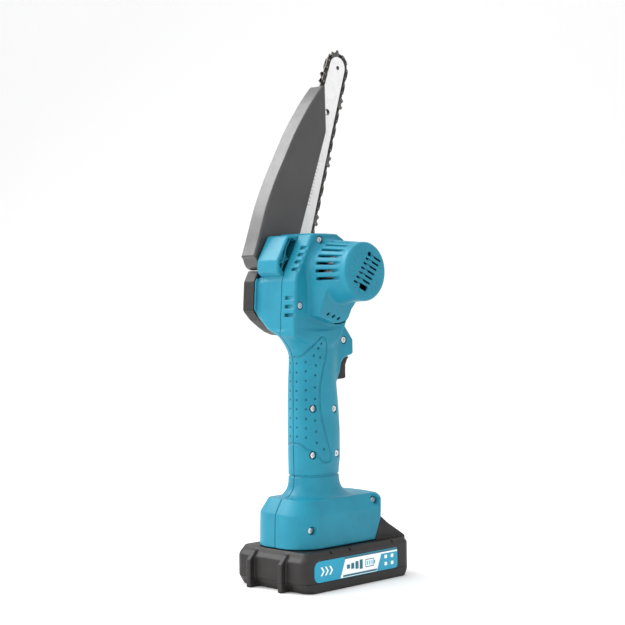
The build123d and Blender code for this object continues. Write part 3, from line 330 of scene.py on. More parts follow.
# lug that carries the guard's pivot
LUG = [
    (-20.0, 239.3), (-41.8, 239.3), (-45.2, 240.5), (-47.8, 243.0), (-48.5, 246.6), (-48.2, 252.4),
    (-43.0, 261.2), (-37.7, 270.2), (-35.9, 271.8), (-20.0, 272.2),
]
POCKET = [(-29.3, 269.5), (-35.8, 269.6), (-45.8, 252.4), (-45.9, 248.6), (-42.4, 243.6)]
POCKET_DEEP = [(-25.0, 267.6)] + POCKET[1:] + [(-36.8, 243.0)]
POCKET_RIBS = [
    [(-46.0, 249.5), (-34.0, 254.0)],
    [(-42.0, 244.5), (-37.0, 262.0)],
    [(-37.0, 262.0), (-32.0, 270.0)],
]
NOSE = [
    (0.0, 206.0), (12.6, 206.0), (17.2, 199.0), (25.0, 189.6), (25.2, 178.8), (23.8, 177.6),
    (20.2, 176.6), (14.4, 174.7), (11.3, 171.2), (9.8, 164.0), (6.2, 158.0), (0.0, 156.0),
]
POD = [
    (-30.4, 246), (-30.4, 209.0), (-22.0, 206.6), (-6.0, 201.9), (1.0, 202.0), (4.6, 203.6),
    (6.6, 207.6), (7.4, 213.8), (10.6, 219.6), (15.6, 226.0), (18.0, 246),
]
HEAD_CAVITY = [
    (-42.6, 208.0), (-40.8, 236.0), (-21.0, 268.3), (2.0, 269.8), (15.0, 260.6), (22.4, 247.0),
    (23.2, 230.0), (21.2, 221.0), (12.0, 208.0), (8.0, 199.0), (3.0, 190.0), (-2.5, 184.0),
    (-14.0, 182.6), (-30.0, 184.6), (-36.5, 190.0), (-42.0, 198.0),
]
SWELL_CAVITY = [
    (-42.4, 209.5), (-40.8, 236.0), (-39.0, 240.5), (-20.0, 242.4), (20.0, 242.4), (22.8, 232.0),
    (21.5, 220.2), (14.2, 209.4), (-2.8, 199.8), (-12.4, 197.4), (-25.5, 200.4), (-38.9, 206.2),
]
TRIGGER_SLOT = [
    (-6, 150), (40, 150), (40, 174.2), (20.5, 174.2), (20.5, 176.2), (-6, 176.2),
]
POD_ARC = spline(
    [(-27.0, 206.6), (-18.0, 204.2), (-10.0, 202.8), (-2.0, 202.9), (4.0, 204.6)], steps=6
)
COVER = [
    (-42.6, 244.6), (-47.3, 236.1), (-48.3, 220.7), (-48.6, 213.4), (-46.7, 211.0), (-41.0, 205.4),
    (-32.7, 199.8), (-26.0, 196.0), (-19.3, 193.6), (-12.4, 192.9), (-3.0, 193.6), (8.0, 197.8),
    (17.0, 204.8), (24.0, 214.5), (27.5, 227.0), (27.0, 240.0), (23.5, 254.0), (17.0, 263.5),
    (9.0, 266.0), (-3.0, 262.0), (-16.0, 247.5), (-28.0, 244.6),
]
COVER_IN = [
    (-39.5, 241.8), (-44.3, 235.2), (-45.5, 220.7), (-45.8, 214.6), (-39.3, 207.9),
    (-31.2, 202.5), (-25.0, 198.8), (-18.6, 196.5), (-12.4, 195.8), (-3.6, 196.5), (6.8, 200.4),
    (15.0, 206.8), (21.5, 215.8), (24.6, 227.4), (24.1, 239.6), (20.8, 253.0), (26.0, 275.0),
    (-31.0, 275.0), (-31.0, 241.8),
]
# the guard's edge on the -X side, from its tip down
GUARD_BACK = spline([
    (28.4, 396.6), (16.2, 382.8), (-1.3, 358.9), (-14.5, 336.6), (-24.9, 318.6), (-35.3, 297.0),
    (-41.8, 279.5), (-46.3, 266.6), (-50.2, 256.6),
], steps=4)
GUARD_TURN = 9.0            # radius of the outline below the pivot
GUARD_OUT = GUARD_BACK + [(-50.3, 256.0), (-48.2, 254.0)] + [
    (
        GUARD_PIVOT[0] + GUARD_TURN * math.cos(math.radians(angle)),
        GUARD_PIVOT[1] + GUARD_TURN * math.sin(math.radians(angle)),
    )
    for angle in range(204, 271, 8)
] + [(-28.0, 246.4), (-17.5, 249.8), (-4.2, 264.6), (1.2, 275.8), (32.0, 359.6), (30.9, 397.2)]
GUARD_IN = [
    (24.0, 388.2), (17.6, 380.6), (0.9, 357.6), (-12.2, 335.3), (-22.6, 317.4), (-32.9, 296.0),
    (-39.3, 278.7), (-44.8, 261.0), (-44.6, 256.0), (-43.0, 250.6), (-38.5, 247.7), (-32.5, 248.2),
    (-31.5, 240.0), (60.0, 240.0), (60.0, 420.0), (29.3, 420.0), (29.3, 393.0), (26.9, 392.2),
]
TRIGGER = [
    (26.0, 175.7), (23.4, 173.0), (21.9, 168.9), (21.6, 163.4), (22.1, 158.9), (19.4, 158.2),
    (8.0, 157.7), (2.6, 158.6), (2.6, 172.5), (14.6, 172.5), (18.2, 175.7),
]
FIN = [
    (-65.25, 0.05), (-53.0, 0.05), (-53.0, 29.0), (-56.0, 28.7), (-59.1, 27.7), (-65.25, 21.2),
]
HUMP = [
    (30.1, 29.0), (30.2, 32.2), (37.1, 48.3), (38.3, 47.4), (43.1, 43.0), (51.0, 37.6),
    (59.1, 32.0), (60.2, 30.4), (60.2, 18.0), (40.0, 18.0),
]
LATCH = [(42.4, 30.3), (54.6, 30.3), (54.6, 34.6), (53.4, 36.0), (44.0, 42.6), (42.4, 43.5)]

# grip stations: z, back x, front x, half width
GRIP = np.array([
    (60.0, -46.0, 27.0, 25.5), (64.0, -44.5, 24.5, 24.0), (66.4, -42.6, 22.0, 22.6),
    (68.2, -40.3, 19.6, 21.0), (70.2, -37.2, 16.6, 19.6), (72.6, -35.0, 14.2, 18.5),
    (75.3, -33.6, 12.5, 17.7), (79.0, -33.1, 11.5, 17.2), (85.0, -33.0, 11.2, 17.0),
    (99.0, -33.3, 12.0, 17.0), (119.0, -33.4, 12.0, 17.0), (140.0, -33.3, 10.5, 16.6),
    (157.5, -33.3, 8.6, 16.0), (172.0, -32.9, 9.0, 15.4), (178.0, -33.7, 9.6, 15.2),
    (182.0, -35.4, 10.2, 15.0), (187.5, -39.6, 11.0, 15.0), (191.0, -43.0, 11.6, 15.0),
    (196.0, -46.0, 13.0, 15.0),
])
GRIP_POWER = 2.25           # exponent of the grip's oval section
# groove and dimples on the grip: (degrees round from the back, z)
GRIP_ARC = 0.345            # mm of arc per degree
GROOVE = spline([
    (4.0, 177.2), (16.7, 177.0), (30.0, 178.6), (42.1, 182.7), (57.0, 187.6), (73.9, 192.9),
    (84.5, 190.6), (91.2, 183.3), (85.5, 175.0), (78.9, 168.2), (72.5, 160.0), (68.8, 152.2),
    (68.4, 138.9), (75.0, 125.4), (86.4, 110.7), (93.5, 103.0), (96.0, 99.6), (92.5, 95.4),
    (85.9, 94.7), (76.0, 95.2), (68.7, 97.3), (55.9, 102.5), (40.2, 105.3), (27.0, 108.6),
    (14.6, 109.7), (4.0, 109.8),
], steps=5)
DIMPLES = (
    [(12.4, 172.1 - 7.1 * k) for k in range(9)]
    + [(36.5, 173.5 - 7.36 * k) for k in range(9)]
    + [
        (59.8, 170.5), (58.5, 162.9), (57.2, 153.5), (56.9, 144.6), (56.6, 136.0), (56.5, 127.8),
        (58.5, 119.2), (59.9, 110.5), (73.1, 187.5), (66.1, 183.8), (55.1, 178.3), (71.3, 176.6),
        (77.1, 105.2),
    ]
)
# housing screws: x, z, y of the head
SCREWS = [
    (-24.3, 137.0, -12.9), (-2.7, 135.8, -14.6), (-24.7, 100.8, -12.8), (-0.2, 100.6, -14.5),
    (-17.3, 268.2, -14.5), (-39.2, 217.3, -14.5), (13.9, 189.4, -10.0),
    (-41.0, 45.4, -25.6), (30.2, 61.6, -25.4),
]


# =====================================================================
# housing: two moulded halves
# =====================================================================
def foot_field(grid):
    """Rounded block with facets near the top, its +X side slanting in towards the bottom."""
    x, y, z = grid.axes
    levels = [30.0, 30.9, 48.2, 56.7, 67.4, 80.0]
    back = along(z, levels, [-54.4, -54.3, -54.0, -53.6, -53.6, -53.6])
    front = along(z, levels, [28.5, 28.9, 36.2, 36.5, 36.5, 36.5])

    def outline(end):
        radius = np.where(x < -9, F(22.0), F(3.0))
        u = np.abs(x - (back + end) / 2) - ((end - back) / 2 - radius)
        v = np.abs(y) - (30.0 - radius)
        return rounded_corner(u, v, radius)

    # slightly crowned top
    top = z - (68.1 - 0.0016 * y * y)
    core = smax(outline(front), top, 0.5)
    # facets round the sides and the back, a full-width lip at the +X end
    band = outline(front + 30.0) * 0.85 + (z - 56.7) * 0.527
    lip = (np.abs(y) - 30.0) * 0.529 + (z - 63.5) * 0.849
    body = either(smax(core, band, 0.45), smax(both(core, 32.6 - x), lip, 1.0))
    return smax(body, 30.95 - z, 0.6)


def grip_field(grid):
    """Oval grip that flares into the foot and the head."""
    x, y, z = grid.axes
    reach = max(1, int(round(3.0 / grid.step)))
    kernel = np.ones(2 * reach + 1) / (2 * reach + 1)

    def smoothed(column):
        values = np.interp(z.ravel(), GRIP[:, 0], GRIP[:, column])
        return np.convolve(np.pad(values, reach, mode="edge"), kernel, "valid")

    back, front, width = smoothed(1), smoothed(2), smoothed(3)
    centre = ((back + front) / 2).astype(F)[None, None, :]
    half_x = ((front - back) / 2).astype(F)[None, None, :]
    half_y = width.astype(F)[None, None, :]
    # the +Y half is a little slimmer, the -Y half only at the neck
    trim = along(
        z, [60, 66, 72, 76, 100, 140, 157, 172, 182, 192, 197],
        [0, 0, 0.6, 0.9, 0.9, 1.0, 1.5, 2.0, 3.4, 3.4, 3.0],
    )
    neck = along(z, [60, 68, 73, 88, 96], [0, 0, 1.2, 1.2, 0])
    half_y = np.where(y > 0, half_y - trim, half_y - neck)
    u, v = (x - centre) / half_x, y / half_y
    power = GRIP_POWER
    oval = np.abs(u) ** power + np.abs(v) ** power
    oval = np.maximum(oval, 1e-6) ** (1 / power)
    # divided by its gradient, the oval's value becomes a distance
    slope_x = np.abs(u) ** (power - 1) / half_x
    slope_y = np.abs(v) ** (power - 1) / half_y
    slope = np.sqrt(slope_x * slope_x + slope_y * slope_y) * oval ** (1 - power)
    flare = np.gradient(half_x.ravel(), grid.step).astype(F)[None, None, :]
    slope_z = np.abs(flare) * slope * np.minimum(np.abs(u), 1)
    side = (oval - 1) / np.sqrt(slope * slope + slope_z * slope_z + 1e-9)
    return both(side, z - 196.0, 58.0 - z)


def head_field(grid):
    x, y, z = grid.axes
    head = smin(
        prism(polygon(x, z, HEAD), y, -15.0, 22.0, 2.2),
        prism(polygon(x, z, SWELL), y, 14.0, 28.0, 1.6), 1.0,
    )
    # flange that meets the cover's rim
    edge = polygon(x, z, COVER)
    rim = both(
        prism(edge + 0.7, y, 26.6, 28.0, 0.3),
        np.minimum(x + 24.0, z - 210.0), z - 238.5, -(edge + 5.5),
    )
    head = smin(head, rim, 1.6)
    # slanting corner below the sprocket cover
    slant = plane(grid, normal=(-0.603, 0.522, -0.606), point=(-46.0, 8.6, 195.3)) - 0.6
    head = smax(head, slant, 1.8)
    under = plane(grid, normal=(-0.285, 0.2585, -0.923), point=(-45.2, 1.0, 194.04))
    return smax(head, under - np.clip((x + 21.0) * 0.7, 0.0, 12.0), 1.4)


def barrel_field(grid):
    """Motor barrel, widening towards the head."""
    x, y, z = grid.axes
    radius = along(
        y, [-60, -47.0, -19.0, -16.0, -14.0, -10.0], [22.9, 22.9, 25.3, 26.0, 27.4, 28.0]
    )
    return both(distance(x, z, MOTOR_AXIS) - radius, between(y, -47.0, -8.0))


def pod_field(grid):
    """Pod under the barrel, with a sloping -Y face."""
    x, y, z = grid.axes
    outline = polygon(x + (y + 15.0) * 0.23 * (x < -10), z, POD)
    face = (-24.2 - 0.375 * (z - 209.6) - y) * 0.936
    return both(smax(outline, face, 1.4), y + 8.0)


def add_lug(grid, body):
    """Lug with a ribbed pocket and the boss of the guard's pivot."""
    x, y, z = grid.axes
    outline = polygon(x, z, LUG)
    body = smin(body, prism(outline, y, 0.5, 24.2, 1.6), 1.0)
    pocket = either(
        prism(polygon(x, z, POCKET), y, -3.0, 20.6, 0.4),
        prism(polygon(x, z, POCKET_DEEP), y, 0.6, 20.6, 0.4),
    )
    body = cut(body, pocket, 0.4)
    lines = either(*(polyline(x, z, rib) for rib in POCKET_RIBS))
    ribs = both(prism(lines - 0.6, y, 2.2, 21.0, 0.2), between(z, 244.8, 270.0), outline + 1.0)
    boss = prism(circle(x, z, GUARD_PIVOT, 4.4), y, 4.0, 23.4, 0.3)
    return either(body, ribs, boss)


def housing_outer(grid):
    x, y, z = grid.axes
    body = smin(head_field(grid), grip_field(grid), 4.5)
    body = smin(body, foot_field(grid), 2.2)
    body = smin(body, prism(polygon(x, z, NOSE), y, -10.5, 10.5, 1.8), 3.0)
    body = smin(body, barrel_field(grid), 2.2)
    body = smin(body, pod_field(grid), 1.6)
    return add_lug(grid, body)


def cut_cavities(grid, body):
    """Inside of the head and barrel, trigger slot and battery channel."""
    x, y, z = grid.axes
    # body + 2.3 keeps a full wall behind the slanted corner and the pocket
    cavity = either(
        both(prism(polygon(x, z, HEAD_CAVITY), y, -12.2, 19.4, 0.6), body + 2.3),
        prism(circle(x, z, MOTOR_AXIS, 20.7), y, -60.0, -11.0),
        prism(polygon(x, z, SWELL_CAVITY), y, 18.0, 25.4, 0.4),
    )
    body = cut(body, cavity)
    slot = prism(rounded_rect(y, z, (0.0, 167.4), (5.2, 10.6), 1.2), x, -4.0, 40.0)
    body = cut(body, both(slot, polygon(x, z, TRIGGER_SLOT)))
    body = cut(body, both(slab(y, 0.0, 19.5), z - 42.5, between(x, -47.0, 60)))
    rail = both(slab(np.abs(y), 17.8, 1.8), slab(z, 34.6, 1.4), between(x, -45.0, 25))
    return either(body, rail)


def cut_vents(grid, body):
    x, y, z = grid.axes
    # slots along the barrel, fanned round its axis
    first, pitch, last = -12.6, 14.34, 14    # degrees from -X, degrees, highest number
    angle = np.degrees(np.arctan2(z - MOTOR_Z, -(x - MOTOR_X)))
    radius = distance(x, z, MOTOR_AXIS)
    number = np.clip(np.round((angle - first) / pitch), 0, last)
    offset = np.radians(angle - (number * pitch + first)) * radius
    floor = along(y, [-46.5, -45.3, -36.0, -34.2, -10.0], [23.6, 22.3, 21.0, 16.0, 16.0])
    slots = both(np.abs(offset) - 1.15, floor - radius, between(y, -46.0, -22.4))
    body = cut(body, slots, 0.5)
    # three vents in the back of the head
    depth = 2.6 + (y + 4.0) * 0.17
    for level in (223.1, 216.4, 209.8):
        vent = both(slab(z, level, 1.4), slab(y, -9.4, 5.4), (x + 45.6) - depth)
        body = cut(body, vent, 0.4)
    # four vents in the sloping shoulder above them
    inward = (x + 43.2) * 0.8729 - (z - 241.7) * 0.4878
    uphill = (x + 43.2) * 0.4878 + (z - 241.7) * 0.8729
    depth = 2.5, (y + 7.4) * 0.16
    for place in (4.4, 11.0, 17.4, 23.6):
        vent = both(
            slab(uphill, place, 1.35), slab(y, -13.4, 6.2), inward - depth[0] - depth[1]
        )
        body = cut(body, vent, 0.4)
    # small vents and an arc on the pod
    for vent_x, vent_z in ((-18.0, 210.6), (-11.6, 208.7), (-5.2, 206.9)):
        u = (x - vent_x) * 0.87 + (z - vent_z) * 0.5
        v = -(x - vent_x) * 0.5 + (z - vent_z) * 0.87
        vent = both(slab(u, 0.0, 1.7), slab(v, 0.0, 0.8), between(y, -34.0, -16.0))
        body = cut(body, vent, 0.3)
    arc = polyline(x, z, POD_ARC) - 0.55
    return cut(body, both(arc, between(y, -36.0, -15.6)), 0.3)


def cut_grip_marks(grid, body):
    """Groove, dimples and the ring round the neck."""
    x, y, z = grid.axes
    angle = np.degrees(np.arctan2(np.abs(y) / 17.0, -(x + 11.0) / 22.5))
    near = (z > 90) & (z < 197) & (np.abs(body) < 2.0) & (angle < 104)
    body = np.array(np.broadcast_to(body, tuple(grid.count)), dtype=F)
    picked = np.nonzero(near)
    arc = np.broadcast_to(angle * GRIP_ARC, body.shape)[picked]
    level = np.broadcast_to(z, body.shape)[picked]
    depth = body[picked]
    groove = polyline(arc, level, [(turn * GRIP_ARC, height) for turn, height in GROOVE])
    marks = np.sqrt(groove ** 2 + (depth + 0.1) ** 2) - 0.80
    for turn, height in DIMPLES:
        dimple = np.sqrt(
            (arc - turn * GRIP_ARC) ** 2 + (level - height) ** 2 + (depth + 0.2) ** 2
        ) - 0.98
        marks = np.minimum(marks, dimple)
    body[picked] = np.maximum(depth, -marks)
    ring_z = 84.2
    ring = np.sqrt(np.minimum(np.abs(body), 50) ** 2 + (z - ring_z) ** 2) - 0.95
    near = (np.abs(z - ring_z) < 2) & (np.abs(body) < 2)
    return np.where(near, np.maximum(body, -ring), body)


def housing_halves():
    grid = Grid((-55.5, -49.0, 29.5), (37.5, 29.5, 275.5), quick=1.0, full=0.6)
    x, y, z = grid.axes
    body = housing_outer(grid)
    body = cut_cavities(grid, body)
    body = cut_vents(grid, body)
    body = cut_grip_marks(grid, body)
    seam = 0.10                 # gap left by each half
    motor_side = smax(body, y + seam, 0.5)
    for screw_x, screw_z, screw_y in SCREWS:
        well = both(circle(x, z, (screw_x, screw_z), 3.05), y - (screw_y + 1.9))
        motor_side = cut(motor_side, well, 0.4)
    motor_shell = surface(
        grid, motor_side, "motor_side_shell", "housing", "motor_side_housing"
    )
    del motor_side
    sprocket_side = smax(body, -y + seam, 0.5)
    # holes open towards +Y: centre, radius, where they start
    for centre, radius, start in (
        (LOCK_AXIS, 4.15, 15.0), (BAR_TAIL, 8.0, 10.0), (GUARD_PIVOT, PIVOT_HOLE, 6.0),
    ):
        sprocket_side = cut(sprocket_side, both(circle(x, z, centre, radius), start - y))
    # the guard and the bar run past the upper part
    sprocket_side = cut(sprocket_side, both(23.5 - y, 245.0 - z), 0.5)
    stud_boss = both(circle(x, z, STUD, 8.5), between(y, 18.9, 23.3))
    sprocket_shell = surface(
        grid, either(sprocket_side, stud_boss), "sprocket_side_shell", "housing",
        "sprocket_side_housing",
    )
    return motor_shell, sprocket_shell


# =====================================================================
# motor end cap, at the -Y end of the barrel
# =====================================================================
def end_cap():
    reach = 24.5
    grid = Grid(
        (MOTOR_X - reach, -56.0, MOTOR_Z - reach), (MOTOR_X + reach, -46.2, MOTOR_Z + reach),
        quick=0.9, full=0.42,
    )
    x, y, z = grid.axes
    radius = distance(x, z, MOTOR_AXIS)
    rim = along(
        y, [-53.5, -53.2, -52.6, -51.8, -50.8, -47.5, -46.9, -46.5],
        [17.2, 19.4, 21.2, 22.3, 22.85, 22.92, 22.97, 22.99],
    )
    dome = -53.45 + 0.0022 * radius ** 2
    body = smax((radius - rim) * 0.9, dome - y, 0.7)
    body = both(body, y + 46.62)
    body = cut(body, prism(radius - 20.5, y, -51.2, -40.0, 1.2))

    # leaning vent slots in two sheared columns, larger at the ends
    vent_x, vent_z = -3.8, 243.4
    lean = math.radians(22.6)
    pitch, shear = 4.22, 1.07
    u = (x - vent_x) * math.cos(lean) - (z - vent_z) * math.sin(lean)
    v = (x - vent_x) * math.sin(lean) + (z - vent_z) * math.cos(lean)
    row = np.clip(np.round(v / pitch), -3, 3)
    u = u - row * shear
    in_row = v - row * pitch
    slots = either(
        rounded_rect(u, in_row, (-6.1, 0.0), (1.9, 0.82), 0.3),
        rounded_rect(u, in_row, (3.8, 0.0), (4.1, 0.82), 0.3),
        rounded_rect(u, v - 13.0, (-5.9, 0.0), (1.9, 1.75), 0.3),
        rounded_rect(u, v + 13.4, (3.4, 0.0), (4.3, 2.1), 0.3),
    )
    body = cut(body, both(slots, y + 49.0), 0.2)
    line = rounded_rect(u, in_row - 0.4, (-2.2, 0.0), (2.4, 0.42), 0.2)
    body = cut(body, both(line, (y - dome) - 0.8), 0.2)

    # shallow fan lines near the rim of the face
    count = 22
    angle = np.arctan2(z - MOTOR_Z, x - MOTOR_X)
    turn = (angle + 0.012 * (radius - 10)) * (count / (2 * math.pi))
    fan = np.abs(turn - np.round(turn)) * (2 * math.pi / count) * radius - 0.28
    fan = both(fan, between(radius, 13.6, 18.6), (y - dome) - 0.42)
    body = np.where(slots < 1.2, body, cut(body, fan, 0.3))
    # notch at the lower edge
    notch = both(
        slab(x, MOTOR_X + 3.0, 4.0), slab(z, MOTOR_Z - 22.9, 1.5), between(y, -50.4, -49.5)
    )
    body = cut(body, notch, 0.2)
    return surface(grid, body, "motor_cap_shell", "housing", "motor_end_cap")


# =====================================================================
# sprocket cover, guard
# =====================================================================
def cover():
    grid = Grid((-50.0, 27.3, 191.5), (29.0, 43.0, 267.5), quick=1.0, full=0.5)
    x, y, z = grid.axes
    edge = polygon(x, z, COVER)
    body = smax(edge, slab(y, 35.05, 6.95), 0.5)
    body = smax(body, (edge + (y - 42.0) + 2.2) * 0.7071, 0.9)
    # groove round the flat face
    body = cut(body, both(slab(edge, -5.6, 0.5), 41.55 - y), 0.3)
    body = cut(body, both(polygon(x, z, COVER_IN), y - 39.2), 0.5)
    # boss, hole and recess for the stud and its nut
    body = smin(body, both(circle(x, z, STUD, 9.0), between(y, 33.6, 39.4)), 0.3)
    body = cut(body, circle(x, z, STUD, 4.1))
    body = cut(body, both(circle(x, z, STUD, 8.0), 38.6 - y), 0.5)
    for rise in (-6.0, 0.0, 6.0):
        centre = (BAR_TAIL[0] - 12.0, BAR_TAIL[1] + rise)
        slot = rounded_rect(x, z, centre, (9.0, 1.3), 1.25)
        body = cut(body, both(slot, 37.5 - y), 0.4)
    return surface(
        grid, body, "sprocket_cover_shell", "housing", "sprocket_cover"
    )


def guard():
    grid = Grid((-51.6, 23.0, 243.5), (33.6, 41.0, 398.5), quick=1.1, full=0.55)
    x, y, z = grid.axes
    walls = slab(y, 32.3, 7.9)
    body = smax(polygon(x, z, GUARD_OUT), walls, 0.35)
    # bevel along the back edge, on both walls
    body = smax(body, (walls + 1.0 - polyline(x, z, GUARD_BACK)) * 0.7071, 0.4)
    body = cut(body, both(polygon(x, z, GUARD_IN), slab(y, 32.0, 5.8)), 0.5)
    body = cut(body, circle(x, z, GUARD_PIVOT, PIVOT_HOLE))
    return surface(grid, body, "guard_shell", "guard", "chain_guard")


# =====================================================================
# trigger, lock-off button
# =====================================================================
def trigger_piece():
    grid = Grid((1.6, -5.6, 156.8), (27.4, 5.6, 176.6), quick=0.6, full=0.28)
    x, y, z = grid.axes
    body = prism(polygon(x, z, TRIGGER), y, -4.85, 4.85, 0.5)
    # finger face: crowned, with fine grooves
    face = (x - 22.9 - np.clip((z - 169.5) * 0.8, 0.0, 4.0) + 0.05 * y * y) * 0.8
    body = smax(body, face, 0.8)
    middle, pitch = 165.5, 2.3
    rise = z - middle
    grooves = np.abs(rise - pitch * np.round(rise / pitch)) - 0.35
    grooves = both(grooves, slab(z, middle, 5.2), 21.0 - x, slab(y, 0.0, 3.6))
    body = cut(body, grooves, 0.3)
    # bore for the spring
    body = cut(body, both(circle(y, z, (0.0, 166.0), 2.9), x - 11.0))
    return surface(grid, body, "trigger_shell", "trigger", "trigger")


def lock_button():
    grid = Grid((-12.6, 17.4, 184.9), (-1.4, 25.8, 196.1), quick=0.45, full=0.22)
    x, y, z = grid.axes
    radius = distance(x, z, LOCK_AXIS)
    body = prism(radius - 3.98, y, 18.2, 25.1, 0.5)
    body = smax(body, y - (25.15 - 0.03 * radius * radius), 0.5)
    flange = prism(radius - 4.98, y, 17.82, 19.2, 0.2)
    ring = both(slab(radius, 2.4, 0.25), 24.55 - y)
    body = cut(either(body, flange), ring, 0.2)
    return surface(grid, body, "lock_off_cap", "lock_off", "lock_off_button")


# =====================================================================
# battery pack
# =====================================================================
PACK_HALF_X, PACK_HALF_Y = 60.3, 39.0
PACK_BOTTOM = 0.02
TRAY_TOP, CASE_BOTTOM = 7.38, 7.42


def pack_side(grid):
    x, y, z = grid.axes
    return rounded_rect(x, y, (0.0, 0.0), (PACK_HALF_X, PACK_HALF_Y), 8.0)


def fins(grid, low, high):
    """Two upright fins on the -X end, running out in the sloping top edge."""
    x, y, z = grid.axes
    pair = smax(polygon(x, z, FIN), slab(np.abs(y - 1.4), 17.25, 2.2), 0.7)
    return both(pair, slab(z, (low + high) / 2, (high - low) / 2))


def back_weight(x):
    """0 along the sides, 1 at the -X end."""
    return np.clip((-PACK_HALF_X + 10.0 - x) / 7.0, 0.0, 1.0)


def battery_lower():
    grid = Grid((-66.5, -40.0, -0.9), (61.5, 40.0, 8.3), quick=1.1, full=0.55)
    x, y, z = grid.axes
    side = pack_side(grid)
    body = smax(side, PACK_BOTTOM - z, 0.8)
    # sloping lower edges at both ends
    body = smax(body, (side + (7.0 * back_weight(x) - z) * 0.91) * 0.74, 0.8)
    front_weight = np.clip((x - (PACK_HALF_X - 9.0)) / 7.0, 0.0, 1.0)
    body = smax(body, (side + (6.6 * front_weight - z) * 0.85) * 0.76, 0.8)
    body = both(body, z - TRAY_TOP)
    low_fins = both(fins(grid, PACK_BOTTOM, TRAY_TOP), PACK_BOTTOM - z)
    body = smin(body, low_fins, 0.7)
    body = cut(body, both(rounded_rect(x, y, (0.0, 0.0), (53.0, 36.4), 6.0), 2.4 - z))
    for screw_x in (-46.0, 50.5):
        body = cut(body, both(circle(x, np.abs(y), (screw_x, 28.5), 3.0), z - 1.7))
    # groove outlining a rectangle under the tray
    outline = rounded_rect(x, y, (2.5, 0.0), (30.0, 20.0), 3.0)
    body = cut(body, both(slab(outline, 0.0, 0.5), z - 0.6), 0.2)
    return surface(
        grid, body, "battery_tray_shell", "battery", "battery_case_lower"
    )


def battery_upper():
    grid = Grid((-66.5, -40.0, 6.6), (61.5, 40.0, 49.4), quick=1.1, full=0.55)
    x, y, z = grid.axes
    wide = np.abs(y)
    side = pack_side(grid)
    body = smax(side, z - 30.4, 0.8)
    slope = (side + (z - 30.9) * 0.95 + 3.6 + 3.4 * back_weight(x)) * 0.74
    body = smax(body, slope, 0.7)
    body = both(body, CASE_BOTTOM - z)
    # hump at the +X end, widening towards +X
    hump_half = 28.0 + np.clip((x - 37.0) * 0.22, 0, 5.0)
    body = smin(body, smax(polygon(x, z, HUMP), wide - hump_half, 1.0), 1.2)
    tower = both(wide - 18.8, slab(z, 35.0, 6.0), between(x, -44.0, 26.0))
    tower = cut(tower, both(15.6 - wide, between(z, 30.4, 36.6)), 0.2)
    body = either(body, tower)
    body = smin(body, fins(grid, CASE_BOTTOM, 29.6), 0.9)
    body = cut(body, both(rounded_rect(x, y, (1.3, 0.0), (56.4, 36.4), 6.0), z - 25.4))
    # label recess, rounder at its -X end
    corner = np.where(x < 0, F(5.8), F(2.8))
    half = (LABEL_HALF_X + 0.3, LABEL_HALF_Z + 0.3)
    body = cut(body, both(rounded_rect(x, z, LABEL_CENTRE, half, corner), y + 38.5))
    # latch well
    body = cut(body, both(slab(x, 48.5, 6.5), wide - 18.0, 26.0 - z), 0.4)
    # terminal slots
    for slot_y in (-9.0, 0.0, 9.0):
        body = cut(body, both(slab(x, -28.0, 7.0), slab(y, slot_y, 0.8), 36.5 - z))
    # small notches along the sides' top edge
    for notch_x in (-30.7, -9.7, 39.1):
        notch = both(slab(x, notch_x, 0.75), slab(wide, 36.6, 1.5), 27.4 - z)
        body = cut(body, notch, 0.25)
    return surface(
        grid, body, "battery_case_shell", "battery", "battery_case_upper"
    )


def latch_piece():
    grid = Grid((41.4, -18.6, 29.3), (55.6, 18.6, 44.6), quick=0.7, full=0.32)
    x, y, z = grid.axes
    body = prism(polygon(x, z, LATCH), y, -17.6, 17.6, 0.45)
    # grooves down the sloping face
    for k in range(4):
        groove_x = 45.4 + 2.1 * k
        groove_z = 42.6 - (groove_x - 44.0) * 0.702 + 0.25
        groove = circle(x, z, (groove_x, groove_z), 0.62)
        body = cut(body, both(groove, slab(y, 0.0, 13.5)), 0.25)
    return surface(grid, body, "latch_shell", "latch", "battery_latch")


def label_plate():
    """Thin rounded plate on the -Y side of the pack."""
    outline = []
    # corners: side in x, side in z, start angle
    for side_x, side_z, start in ((1, 1, 0), (-1, 1, 90), (-1, -1, 180), (1, -1, 270)):
        radius = 2.5 if side_x > 0 else 5.5
        for k in range(9):
            angle = math.radians(start + 90 * k / 8)
            outline.append((
                LABEL_X + side_x * (LABEL_HALF_X - radius) + radius * math.cos(angle),
                LABEL_Z + side_z * (LABEL_HALF_Z - radius) + radius * math.sin(angle),
            ))
    build = bmesh.new()
    rows = []
    for y, shrink in ((-38.53, 0.0), (-38.85, 0.0), (-38.95, 0.12)):
        row = []
        for x, z in outline:
            out_x, out_z = x - LABEL_X, z - LABEL_Z
            reach = math.hypot(out_x, out_z)
            row.append(build.verts.new((
                (x - out_x / reach * shrink) * MM, y * MM, (z - out_z / reach * shrink) * MM,
            )))
        rows.append(row)
    for near, far in zip(rows, rows[1:]):
        for k in range(len(outline)):
            j = (k + 1) % len(outline)
            build.faces.new((near[k], near[j], far[j], far[k]))
    build.faces.new(list(reversed(rows[0])))
    build.faces.new(rows[2])
    plate = add_object("label_plate", close_bmesh(build, "label_plate"))
    mount(plate, "battery", "battery_label")
    return plate


